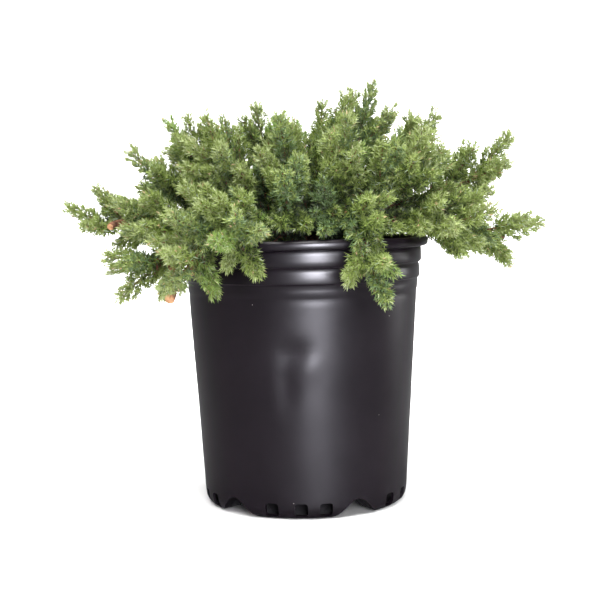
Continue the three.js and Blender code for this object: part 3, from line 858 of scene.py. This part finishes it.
def frame_along(curve, share):
    """Two directions across a curve at each place, at right angles to it and to each other."""
    forward = curve_direction(curve, share)
    side = np.where(np.abs(forward[..., 2:]) > 0.9, np.array([1.0, 0, 0]), UP)
    across = unit(np.cross(side, forward))
    return across, np.cross(forward, across)


def round_about(across, over, turn):
    """Directions across a limb, turned about it."""
    return over * np.cos(turn)[..., None] + across * np.sin(turn)[..., None]


def bark_limb(curve, radius_at, sides, rings, seed, relief=BARK_RELIEF):
    """Points and faces of one closed limb with strips of bark."""
    draw = np.random.default_rng(seed)
    share = np.linspace(0, 1, rings)
    length = np.linalg.norm(curve[2] - curve[0])
    turn = np.arange(sides) / sides * 2 * pi
    ridge = np.zeros((rings, sides))
    for count in STRIP_COUNTS:
        twist = draw.uniform(-TWIST, TWIST)
        broken = np.sin(share * length / draw.uniform(*BREAK_LENGTHS) + draw.uniform(0, 6))[:, None]
        strips = np.sin(count * turn[None] + twist * share[:, None] * 3 + draw.uniform(0, 6) + 0.8 * broken)
        ridge += (1 - np.abs(strips)) / len(STRIP_COUNTS)
    swellings = draw.normal(0, SWELLING_SIZE, SWELLINGS)
    swelling = np.interp(share, np.linspace(0, 1, SWELLINGS), swellings)[:, None]
    radius = radius_at(share)[:, None] * (1 + relief * (ridge - 0.5) * 2 + relief * swelling)
    across, over = frame_along(curve, share)
    ring = round_about(across[:, None], over[:, None], turn[None])
    points = curve_points(curve, share)[:, None] + ring * radius[..., None]
    ends = curve_points(curve, [0, 1])
    number = np.arange(rings * sides).reshape(rings, sides)
    beside = np.roll(number, -1, axis=1)
    foot = np.stack([np.full(sides, rings * sides), beside[0], number[0]], -1)
    top = np.stack([np.full(sides, rings * sides + 1), number[-1], beside[-1]], -1)
    return np.vstack([points.reshape(-1, 3), ends]), np.vstack([tube_walls(number), foot, top])


def tube_walls(number):
    """The triangles between rings of numbered points."""
    beside = np.roll(number, -1, axis=1)
    corners = [number[:-1], beside[:-1], beside[1:], number[:-1], beside[1:], number[1:]]
    return np.stack(corners, -1).reshape(-1, 3)


def join_meshes(parts):
    """Several (points, faces) pairs as one pair."""
    offsets = np.cumsum([0] + [len(points) for points, _ in parts])
    faces = [faces + offset for (_, faces), offset in zip(parts, offsets)]
    return np.vstack([points for points, _ in parts]), np.vstack(faces)


def bark_piece(name, limbs):
    """One piece of several limbs, in bark."""
    return mesh_piece(name, *join_meshes(limbs), red_bark, "bark", smooth=True)


trunk = bark_piece("trunk_bark", [bark_limb(trunk_curve, trunk_radius, sides=56, rings=64, seed=5)])
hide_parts("trunk")
bough_meshes = [
    bark_limb(bough, lambda share, mass=mass: bough_radius(mass, share), sides=14, rings=32, seed=100 + own)
    for own, (mass, bough) in enumerate(zip(MASSES, boughs))
]
bough_piece = bark_piece("boughs_bark", bough_meshes)
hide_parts(*(f"bough_{mass['name']}" for mass in MASSES))
print("trunk and boughs:", len(trunk.data.polygons) + len(bough_piece.data.polygons), "triangles")

# %% [markdown]
# ## The rule of growth
#
# Sprays are tried one after another along the stem of a mass, each turned by the golden angle from
# the one before, so that none hides the last. A spray leans out from the plant and up towards the
# light, and the first ones are the longest. It stays only if it keeps to the space of its own
# mass, clear of the limbs and of the pot, and apart from the other sprays. The draws come from a
# small generator that gives the same numbers everywhere.

# %% How near things are
SEED = 20417
SEED_STEP = 101
STEM_STEPS = 3
LIMB_STEPS = 5
CLEARANCE = 0.5


def make_random(seed):
    """A generator of numbers between 0 and 1."""
    state = seed
    while True:
        state = (state * 16807) % 2147483647
        yield state / 2147483647


def line_of(curve, steps, radius_at):
    """A curve as points in a row, with the radius at each."""
    share = np.arange(steps + 1) / steps
    return curve_points(curve, share), radius_at(share) * np.ones(steps + 1)


def nearest_on(lines, points):
    """For each point and line: the nearest place on the line, and the distance to its surface."""
    path, radii = lines
    start, run = path[:, :-1], path[:, 1:] - path[:, :-1]
    apart = points[:, None, None] - start[None]
    share = np.clip((apart * run[None]).sum(-1) / (run * run).sum(-1)[None], 0, 1)
    places = start[None] + run[None] * share[..., None]
    thick = radii[None, :, :-1] * (1 - share) + radii[None, :, 1:] * share
    distance = np.linalg.norm(points[:, None, None] - places, axis=-1) - thick
    best = distance.argmin(-1)
    at = np.take_along_axis(places, best[..., None, None], 2)[:, :, 0]
    return at, np.take_along_axis(distance, best[..., None], 2)[..., 0]


def stack_lines(lines):
    """Lines of equal length as two arrays."""
    return np.array([path for path, _ in lines]), np.array([radii for _, radii in lines])


stem_lines = stack_lines([line_of(stem, STEM_STEPS, lambda share: 0 * share) for stem in stems])
limb_lines = stack_lines(
    [line_of(trunk_curve, LIMB_STEPS, trunk_radius)]
    + [
        line_of(bough, LIMB_STEPS, lambda share, mass=mass: bough_radius(mass, share))
        for mass, bough in zip(MASSES, boughs)
    ]
)
pot_section = [
    (WALL_FOOT_RADIUS, 10), (WALL_TOP_RADIUS, LOWER_STEP_Z), (BAND_RADIUS, UPPER_GROOVE_Z),
    (BAND_RADIUS, LIP_Z), (RIM_RADIUS, LIP_Z), (RIM_RADIUS, POT_HEIGHT),
    (BAND_RADIUS - WALL, POT_HEIGHT), (WALL_TOP_RADIUS - WALL, SOIL_Z), (0, SOIL_Z),
]
pot_line = (np.array([[(r, 0, z) for r, z in pot_section]], float), np.zeros((1, len(pot_section))))


def depth_in_own_space(points, own):
    """How far each point is inside its mass's space, on its side of the plane to each other mass."""
    at, _ = nearest_on(stem_lines, points)
    home, away = at[:, own : own + 1], np.delete(at, own, axis=1)
    nearer = ((away - points[:, None]) ** 2).sum(-1) - ((home - points[:, None]) ** 2).sum(-1)
    return nearer / (2 * np.linalg.norm(home - away, axis=-1))


def distance_to_pot(points):
    """How far each point is from the pot's wall, lip and soil, and -1 under the soil."""
    radius = np.hypot(points[:, 0], points[:, 1])
    section = np.stack([radius, 0 * radius, points[:, 2]], axis=1)
    beneath = (radius < BAND_RADIUS) & (points[:, 2] < SOIL_Z)
    return np.where(beneath, -1, nearest_on(pot_line, section)[1][:, 0])


print("lines:", len(stem_lines[0]), "stems and", len(limb_lines[0]), "limbs")

# %% One spray, as the rule tries it
GOLDEN_TURN = radians(137.5)
MOST_TRIES = 240
TIP_TRIES = 12
TIP_SHARE = 0.86
FIRST_SHARE = 0.08
SHARE_RANGE = 0.8
TIP_SPREAD = 0.15
LEAST_SPREAD = 0.75
SPREAD_RANGE = 0.5
ALONG = 0.8
LEAN_OUT = 0.2
LEVEL_LEAN = 0.35
LEAN_BY_RISE = 0.7
LEAST_LEAN = 0.08
MOST_LEAN = 0.75
MOST_VIGOUR = 1.1
LEAST_VIGOUR = 0.65
VIGOUR_RANGE = 0.15
UPTURN = 0.1
BEND_SHARE = 0.55
SPRAY_RADIUS = 10.5
SPRAY_LENGTH = 52
NEEDLE_FORWARD = 4.5
REACH = 1.3
SPACING = 1.15
WIDEST_SHARE = 0.7
TESTED_SHARES = np.array([0.15, 0.3, 0.5, 0.7, 0.9, 1])
TESTED_REACHES = np.array([0.45, 0.9, 1, 1, 0.7, 0.3])
TESTED_BEYOND = np.array([0, 0, 0, 0, 0, NEEDLE_FORWARD])


def lean_up(mass):
    """How much the sprays of a mass turn up: fully on a steep stem, and hardly on a hanging one."""
    rise = unit(mass["tip"] - mass["heart"])[2]
    return min(MOST_LEAN, max(LEAST_LEAN, LEVEL_LEAN + LEAN_BY_RISE * rise))


def try_spray(mass, stem, number, last, lean, draw):
    """A spray's curve and radius, by the draws that come next."""
    share = TIP_SHARE if last else FIRST_SHARE + SHARE_RANGE * next(draw)
    root, along = curve_points(stem, share), curve_direction(stem, share)
    across = unit(np.cross(UP, along))
    over = np.cross(along, across)
    turn = number * GOLDEN_TURN + next(draw)
    outward = unit(root - POT_AXIS_POINT)
    spread = TIP_SPREAD * next(draw) if last else LEAST_SPREAD + SPREAD_RANGE * next(draw)
    sideways = over * spread * cos(turn) + across * spread * sin(turn)
    direction = unit(along * ALONG + sideways + outward * LEAN_OUT + UP * lean)
    fading = MOST_VIGOUR + (LEAST_VIGOUR - MOST_VIGOUR) * min(1, number / MOST_TRIES)
    vigour = MOST_VIGOUR if last else fading - VIGOUR_RANGE * next(draw)
    length = SPRAY_LENGTH * mass["size"] * vigour
    curve = np.array(
        [root, root + direction * length * BEND_SHARE, root + direction * length + UP * UPTURN * length]
    )
    return {"curve": curve, "radius": SPRAY_RADIUS * mass["size"] * vigour**0.5, "shade": 0}


def fits(spray, own, grown, spacing, crowding, limbs):
    """True when a spray keeps to its space, clear of limbs and pot and apart from its neighbours."""
    curve, radius = spray["curve"], spray["radius"]
    points = curve_points(curve, TESTED_SHARES)
    points = points + curve_direction(curve, TESTED_SHARES) * TESTED_BEYOND[:, None]
    room = TESTED_REACHES * radius * REACH * crowding + CLEARANCE
    if own is not None and (depth_in_own_space(points, own) <= room[:, None]).any():
        return False
    if (distance_to_pot(points) <= room).any():
        return False
    if limbs is not None and (nearest_on(limbs, points)[1] <= room[:, None]).any():
        return False
    widest = curve_points(curve, WIDEST_SHARE)
    apart = [np.linalg.norm(curve_points(other["curve"], WIDEST_SHARE) - widest) for other in grown]
    return all(far > spacing * (radius + other["radius"]) for far, other in zip(apart, grown))


# %% [markdown]
# The rule runs first over each stem for the main sprays, which the solids have too. Then it
# carries on with the same draws for finer sprays, along the stem, along the bough and under it.
# They may stand closer and reach into the next mass, as needles close in over the wood.

# %% Grow every mass
FILL_TRIES = 170
FILL_CROWDING = 0.4
STEM_FILL = {"spacing": 0.75, "sprays": 4, "size": 1, "shade": 0.03, "hang": 0, "inside": False}
BOUGH_FILL = {"spacing": 0.6, "sprays": 4, "size": 0.9, "shade": 0.18, "hang": 0, "inside": True}
UNDER_FILL = {"spacing": 0.5, "sprays": 3, "size": 0.8, "shade": 0.28, "hang": 0.7, "inside": True}


def grow_mass(mass, own):
    """The main sprays of a mass, then the finer ones that fill the space between them."""
    draw = make_random(SEED + own * SEED_STEP)
    grown = []
    for number in range(MOST_TRIES):
        if len(grown) >= mass["sprays"]:
            break
        last = not grown and number < TIP_TRIES
        spray = try_spray(mass, stems[own], number, last, lean_up(mass), draw)
        if fits(spray, own, grown, SPACING, 1, limb_lines):
            grown.append(spray)
    for carrier, fill in ((stems[own], STEM_FILL), (boughs[own], BOUGH_FILL), (boughs[own], UNDER_FILL)):
        finer = {**mass, "size": mass["size"] * fill["size"]}
        wanted = len(grown) + fill["sprays"]
        for number in range(FILL_TRIES):
            if len(grown) >= wanted:
                break
            spray = try_spray(finer, carrier, number, False, lean_up(mass) - fill["hang"], draw)
            space = None if fill["inside"] else own
            if fits(spray, space, grown, fill["spacing"], FILL_CROWDING, None):
                grown.append({**spray, "shade": fill["shade"]})
    return grown


sprays = [(own, spray) for own, mass in enumerate(MASSES) for spray in grow_mass(mass, own)]
counts = np.bincount([own for own, _ in sprays], minlength=len(MASSES))
print("sprays:", len(sprays), "per mass:", counts.tolist())

# %% [markdown]
# ## From spray to shoots
#
# A juniper plume is a leading shoot with side shoots all round it. They stand at about 45 degrees,
# curve up towards its tip, and get shorter along it. Each longer side shoot has a bud of its own.
# Every spray is a plume, and plumes run along the stems too. Where a branch hangs over the rim,
# more of them, lifted off it or set beside it, make it leafy all round. All shoots are Bezier
# curves in one array, so that the needles of the whole plant can be placed at once.

# %% Leaders of every plume
STEM_PLUMES = ((0, 0.5), (0.42, 1))
STEM_PLUME_SHADE = 0.12
OVER_RIM = 20
OVER_LIMB = 5
BESIDE_LIMB = 8
BOUGH_PLUME = (0.5, 1)
NECK_PLUME = (0.15, 0.8)
# Masses that hang under others get painted shade: darker greens, and blue-green for the most shaded.
SHADE_UNDER_OTHERS = {"front_low": 0.18, "front_low_right": 0.32, "front_hanging": 0.1, "front_left": 0.05}
LEADER_END = 0.93


def part_of(curve, first, last):
    """The stretch of a Bezier curve between two shares of its length, as a curve of its own."""
    start, middle, end = curve_points(curve, [first, (first + last) / 2, last])
    return np.array([start, 2 * middle - (start + end) / 2, end])


stem_plumes = [part_of(stem, first, last) for stem in stems for first, last in STEM_PLUMES]
for mass, bough, stem in zip(MASSES, boughs, stems):
    if mass["tip"][2] < POT_HEIGHT - OVER_RIM:
        outside = unit(np.array([mass["tip"][0], mass["tip"][1], OVER_RIM])) * OVER_LIMB
        lift = np.outer([0, 1, 1], outside)
        beside = np.outer([0, 1, 1], unit(np.cross(UP, outside)) * BESIDE_LIMB)
        stem_plumes += [part_of(bough, *BOUGH_PLUME), part_of(bough, *BOUGH_PLUME) + lift]
        stem_plumes += [part_of(stem, *NECK_PLUME) + lift + aside for aside in (0 * beside, beside, -beside)]
on_stems = len(stem_plumes)
leaders = np.array([part_of(spray["curve"], 0, LEADER_END) for _, spray in sprays] + stem_plumes)
leader_radius = np.array([spray["radius"] for _, spray in sprays] + [SPRAY_RADIUS] * on_stems)
plume_shade = np.array([spray["shade"] for _, spray in sprays] + [STEM_PLUME_SHADE] * on_stems)
shade_under_others = np.array([SHADE_UNDER_OTHERS.get(MASSES[own]["name"], 0) for own, _ in sprays] + [0] * on_stems)
plume_count = len(leaders)
print("leaders:", plume_count)

# %% Side shoots and buds
SIDE_SHOOTS = 27
FIRST_SIDE = 0.12
SIDE_SPAN = 0.8
FOOT_ANGLE = radians(48)
TIP_ANGLE = radians(30)
SIDE_LENGTH = 1.5
SIDE_BEND = 0.55
SIDE_UPTURN = 0.35
LONG_SIDE = 13
SHADE_THINS = 2.2
BUD_LENGTH = 5.5
BUD_ANGLE = radians(36)
BUD_SHARE = 0.6
draw = np.random.default_rng(SEED)


def leaning(forward, across, over, turn, angle):
    """A direction at an angle to forward, turned about it."""
    return forward * np.cos(angle)[..., None] + round_about(across, over, turn) * np.sin(angle)[..., None]


def side_curves(parents, share, length, angle, turn):
    """Shoots that leave their parents at a share of their length and curve towards their tips."""
    forward = curve_direction(parents, share)
    start = curve_points(parents, share)
    away = leaning(forward, *frame_along(parents, share), turn, angle)
    bend = start + away * length[..., None] * SIDE_BEND
    end = start + unit(away + forward * SIDE_UPTURN) * length[..., None]
    return np.stack([start, bend, end], axis=-2)


side_share = FIRST_SIDE + SIDE_SPAN * (np.arange(SIDE_SHOOTS) + 0.3) / SIDE_SHOOTS
side_share = side_share[None] + draw.uniform(-0.02, 0.02, (plume_count, SIDE_SHOOTS))
tapering = np.minimum(1, 0.62 + 1.7 * side_share) * (1.3 - side_share) ** 0.36
side_length = leader_radius[:, None] * SIDE_LENGTH * tapering * draw.uniform(0.85, 1.18, tapering.shape)
side_turn = np.arange(SIDE_SHOOTS)[None] * GOLDEN_TURN + draw.uniform(0, 6, (plume_count, 1))
side_angle = FOOT_ANGLE + (TIP_ANGLE - FOOT_ANGLE) * side_share
side_angle *= draw.uniform(0.85, 1.15, tapering.shape)
parents = np.repeat(leaders[:, None], SIDE_SHOOTS, axis=1)
sides = side_curves(parents, side_share, side_length, side_angle, side_turn)
kept = draw.uniform(0, 1, tapering.shape) > plume_shade[:, None] * SHADE_THINS
side_plume = np.nonzero(kept)[0]
side_length = side_length[kept]
sides = sides[kept]

budding = side_length > LONG_SIDE
bud_count = budding.sum()
bud_share = BUD_SHARE + draw.uniform(-0.08, 0.08, bud_count)
bud_turn = draw.uniform(0, 6, bud_count)
bud_size = BUD_LENGTH * draw.uniform(0.75, 1.1, bud_count)
buds = side_curves(sides[budding], bud_share, bud_size, np.full(bud_count, BUD_ANGLE), bud_turn)
bud_plume = side_plume[budding]
print("side shoots:", len(sides), "buds:", len(buds))

# %% [markdown]
# ## Needles
#
# Juniper needles are awls: widest at the twig, pointed, about 7 mm long, in rings of three. Each
# is a closed sliver of four faces. They stand out at the foot of a shoot and close up round its
# tip. Every needle is dealt one of a few plain greens, by how near the tip of its shoot and of its
# plume it sits, how deep in the crown, and which plume it is on. Much of that is painted light and
# shade: needles deep in the crown, at the foot of a plume, on fill sprays and in masses that hang
# under others get darker greens as painted shade, and needles near the outside of the crown and
# up each plume get lighter greens as painted light. Each green is a mesh of its own.

# %% Place the needles of all shoots
NEEDLE_LENGTH = 8
NEEDLE_WIDTH = 1.65
NEEDLE_FOOT = 0.35
TIP_OPEN = radians(20)
FOOT_OPEN = radians(50)
TIP_SHORTER = 0.43
UPPER_SHORTER = 0.22


def share_of_plume(places, plume):
    """How far up its plume each place is, from 0 at the foot to about 1 at the tip."""
    foot, end = leaders[plume, 0], leaders[plume, 2]
    return np.linalg.norm(places - foot, axis=1) / np.linalg.norm(end - foot, axis=1)


def needles_on(curves, plume, start_share, step, on_leader):
    """Needle arrays for shoots: base, direction, side and length of each, and what it sits on."""
    length = np.linalg.norm(curves[:, 2] - curves[:, 0], axis=-1)
    count = np.maximum(3, np.round(length * (1 - start_share) / step).astype(int))
    shoot = np.repeat(np.arange(len(curves)), count * 3)
    order = np.concatenate([np.repeat(np.arange(n), 3) for n in count])
    third = np.tile([0, 1, 2], count.sum())
    share = start_share + (1 - start_share) * (order + 0.5) / count[shoot]
    share = np.clip(share + draw.uniform(-0.3, 0.3, len(share)) / count[shoot], 0, 1)
    forward = curve_direction(curves[shoot], share)
    across, over = frame_along(curves[shoot], share)
    turn = third * 2 * pi / 3 + order * pi / 3 + draw.uniform(-0.35, 0.35, len(share))
    near_tip = np.clip((share - 0.3) / 0.7, 0, 1)
    opening = FOOT_OPEN + (TIP_OPEN - FOOT_OPEN) * near_tip**2 + draw.normal(0, 0.12, len(share))
    outward = round_about(across, over, turn)
    base = curve_points(curves[shoot], share) + outward * NEEDLE_FOOT
    size = NEEDLE_LENGTH * (1 - TIP_SHORTER * near_tip) * draw.uniform(0.82, 1.12, len(share))
    return {
        "base": base,
        "direction": leaning(forward, across, over, turn, opening),
        "side": unit(np.cross(forward, outward)),
        "size": size * (1 - UPPER_SHORTER * share_of_plume(base, plume[shoot])),
        "plume": plume[shoot],
        "share": share,
        "on_leader": np.full(len(share), on_leader),
    }


groups = [
    needles_on(leaders, np.arange(plume_count), start_share=0.16, step=3.4, on_leader=True),
    needles_on(sides, side_plume, start_share=0.22, step=2.3, on_leader=False),
    needles_on(buds, bud_plume, start_share=0.2, step=2.1, on_leader=False),
]
needles = {key: np.concatenate([group[key] for group in groups]) for key in groups[0]}
print("needles on leaders, side shoots and buds:", [len(group["size"]) for group in groups])

# %% Deal out the colours
CROWN_CENTRE = np.array([0, 10, 235.0])
CROWN_REACH = np.array([200, 165, 130.0])
BASE_TONE = 0.165
# Painted light and shade: needles near the outside of the crown and up each plume get lighter greens, those
# deep in the crown and at the foot of a plume darker ones.
OUTER_LIGHT_TONE = 0.26
PLUME_LIGHT_TONE = 0.27
SHOOT_TIP_TONE = 0.2
PLUME_VARIETY = 0.08
NEEDLE_VARIETY = 0.13
# Masses with more painted shade than this take the blue-green hue in their darker needles.
DEEP_UNDER = 0.2
BLUE_FROM = 0.74
LIME_BELOW = 0.07
# From dark to light, the greens stand for shaded to lit needles as painted shade and painted light, as well
# as for the needles' own variety.
GREENS = (
    ("deep_shade_green", (0.031, 0.055, 0.005), 0.28),
    ("shade_green", (0.07, 0.112, 0.012), 0.4),
    ("sage_green", (0.142, 0.202, 0.034), 0.53),
    ("mid_green", (0.2, 0.266, 0.057), 0.67),
    ("fresh_lit_green", (0.25, 0.315, 0.089), 0.83),
    ("lit_tip_green", (0.315, 0.372, 0.15), 9),
)
ACCENTS = [
    ("blue_green", (0.128, 0.2, 0.074)),
    ("silver_green", (0.27, 0.34, 0.2)),
    ("lime_green", (0.2, 0.31, 0.065)),
    ("tan_tip", (0.42, 0.31, 0.16)),
]
palette = [(name, colour) for name, colour, _ in GREENS] + ACCENTS
BLUE, SILVER, LIME, TAN = range(len(GREENS), len(palette))

plume_tone = draw.normal(0, PLUME_VARIETY, plume_count)
plume_hue = draw.uniform(0, 1, plume_count)
plume, share = needles["plume"], needles["share"]
out = np.linalg.norm((needles["base"] - CROWN_CENTRE) / CROWN_REACH, axis=1)
# Painted shade deep in the crown and at plume feet, painted light near the outside and up each plume.
tone = BASE_TONE + OUTER_LIGHT_TONE * np.clip(out, 0, 1.1) ** 1.5
tone += PLUME_LIGHT_TONE * share_of_plume(needles["base"], plume) ** 1.4
tone += SHOOT_TIP_TONE * share**2 * ~needles["on_leader"]
# Painted shade: fill sprays, plumes on stems and masses that hang under others are dealt darker greens; each
# plume and needle also varies at random.
tone += (plume_tone - plume_shade - shade_under_others)[plume] + draw.normal(0, NEEDLE_VARIETY, len(tone))
roll = draw.uniform(0, 1, len(tone))
hue = np.where(shade_under_others > DEEP_UNDER, 1, plume_hue)[plume]
kind = np.searchsorted([limit for _, _, limit in GREENS], tone)
kind[(hue > BLUE_FROM) & (tone < 0.66) & (roll < 0.55)] = BLUE
kind[(roll > 0.95) & (tone > 0.3) & (share < 0.6)] = SILVER
kind[(hue < LIME_BELOW) & (tone > 0.42) & (roll < 0.6)] = LIME
kind[(share > 0.8) & (tone > 0.72) & (roll < 0.07)] = TAN
print({name: int((kind == number).sum()) for number, (name, _) in enumerate(palette)})

# %% Needle meshes
MOST_TRIANGLES = 190_000
NEEDLE_SPECULAR = 0.3
WAX_SCALE = 60
SLIVER_FACES = np.array([[0, 1, 3], [1, 2, 3], [2, 0, 3], [0, 2, 1]])


def slivers(base, direction, side, length, width):
    """Closed slivers: three corners at the foot and a point."""
    under = np.cross(direction, side)
    wide = width[:, None]
    feet = [base + side * wide * 0.5, base - side * wide * 0.5, base - under * wide * 0.45]
    corners = np.stack([*feet, base + direction * length[:, None]], axis=1)
    faces = np.arange(len(base))[:, None, None] * 4 + SLIVER_FACES[None]
    return corners.reshape(-1, 3), faces.reshape(-1, 3)


def needle_mesh(which):
    """The chosen needles as slivers."""
    base, direction, side, size = (needles[key][which] for key in ("base", "direction", "side", "size"))
    return slivers(base, direction, side, size, NEEDLE_WIDTH * (0.75 + 0.25 * size / NEEDLE_LENGTH))


def needle_material(name, colour):
    """A waxy leaf finish with one plain colour."""
    material, tree, shader = new_material(name)
    wax = node(tree, "TexNoise", {"Vector": place_on(tree), "Scale": WAX_SCALE}, "Fac")
    feed(tree, shader["Base Color"], (*colour, 1))
    feed(tree, shader["Specular IOR Level"], NEEDLE_SPECULAR)
    feed(tree, shader["Roughness"], node(tree, "MapRange", {"Value": wax, "To Min": 0.42, "To Max": 0.68}))
    return material


for number, (name, colour) in enumerate(palette):
    chosen = np.flatnonzero(kind == number)
    finish = needle_material(name, colour)
    batches = max(1, -(-len(chosen) * 4 // MOST_TRIANGLES))
    for batch, part in enumerate(np.array_split(chosen, batches)):
        label = f"needles_{name}" + (f"_{batch + 1}" if batches > 1 else "")
        mesh_piece(label, *needle_mesh(part), finish, "needles")
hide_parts(*(f"foliage_{mass['name']}" for mass in MASSES))

# %% [markdown]
# ## Twigs
#
# Under the needles run the twigs: brown where they are old, green where they grew this year. They
# are tapering slivers with three sides. The stems of the masses carry the same bark as the boughs.

# %% Stems and twigs
LEADER_RADII = (1.15, 0.5)
LEADER_STEPS = 4
SHOOT_WIDTH = 1.3


def taper_mesh(curves, radii, steps):
    """Three-sided tapering twigs along many curves, closed at both ends."""
    share = np.tile(np.linspace(0, 1, steps + 1), (len(curves), 1))
    many = np.repeat(curves[:, None], steps + 1, axis=1)
    places = curve_points(many, share)
    across, over = frame_along(many, share)
    turn = np.arange(3) * 2 * pi / 3
    radius = radii[0] + (radii[1] - radii[0]) * share
    ring = round_about(across[:, :, None], over[:, :, None], turn)
    points = places[:, :, None] + ring * radius[:, :, None, None]
    number = np.arange((steps + 1) * 3).reshape(steps + 1, 3)
    one = np.vstack([tube_walls(number), [[0, 2, 1]], number[-1:]])
    faces = np.arange(len(curves))[:, None, None] * number.size + one[None]
    return points.reshape(-1, 3), faces.reshape(-1, 3)


stem_limbs = [
    bark_limb(stem, stem_radius, sides=8, rings=28, seed=300 + own) for own, stem in enumerate(stems)
]
bark_piece("stems_bark", stem_limbs)
leader_twigs = taper_mesh(leaders, LEADER_RADII, LEADER_STEPS)
mesh_piece("leader_twigs", *leader_twigs, red_bark, "bark")
shoots = np.concatenate([sides, buds])
run = shoots[:, 2] - shoots[:, 0]
run_length = np.linalg.norm(run, axis=1)
run_side = unit(np.cross(run, UP + 0.01))
shoot_width = np.full(len(shoots), SHOOT_WIDTH)
shoot_twigs = slivers(shoots[:, 0], run / run_length[:, None], run_side, run_length, shoot_width)
mesh_piece("shoot_twigs", *shoot_twigs, green_wood, "bark")
print("twig triangles:", len(leader_twigs[1]) + len(shoot_twigs[1]))

# %% [markdown]
# The photograph shows where shears took off a few old side branches. Each is a stub with bark that
# leaves its stem and ends in a flat, pale cut.

# %% Cut stubs
CUT_STUBS = [
    ("left_low", 0.7, (-112, -86, 190), 4.8),
    ("far_left", 0.72, (-168, -30, 250), 3),
    ("left_hanging", 0.55, (-92, -96, 212), 3),
]
CUT_FACING = unit(np.array([-0.3, -0.85, -0.4]))
STUB_BEND = 14
CUT_THICKNESS = 0.8
CUT_RELIEF = 0.02
CUT_SIDES = 20
stems_by_name = {mass["name"]: stem for mass, stem in zip(MASSES, stems)}
stubs = []
cuts = []
for number, (name, share, end, radius) in enumerate(CUT_STUBS):
    stub = np.array([curve_points(stems_by_name[name], share), end - CUT_FACING * STUB_BEND, end])
    stubs.append(bark_limb(stub, lambda t, r=radius: r * (0.8 + 0.2 * t), CUT_SIDES, 20, 700 + number))
    disc = end + np.outer([0, 0.5, 1], CUT_FACING * CUT_THICKNESS)
    flat = bark_limb(disc, lambda t, r=radius: r * (0.94 - 0.08 * t), CUT_SIDES, 3, 800 + number, CUT_RELIEF)
    cuts.append(flat)
bark_piece("cut_stubs", stubs)
mesh_piece("cut_faces", *join_meshes(cuts), cut_wood, "bark")
print("cut stubs:", len(stubs))

# %% Finish
print("materials:", len(bpy.data.materials), "meshes:", len(bpy.data.meshes))
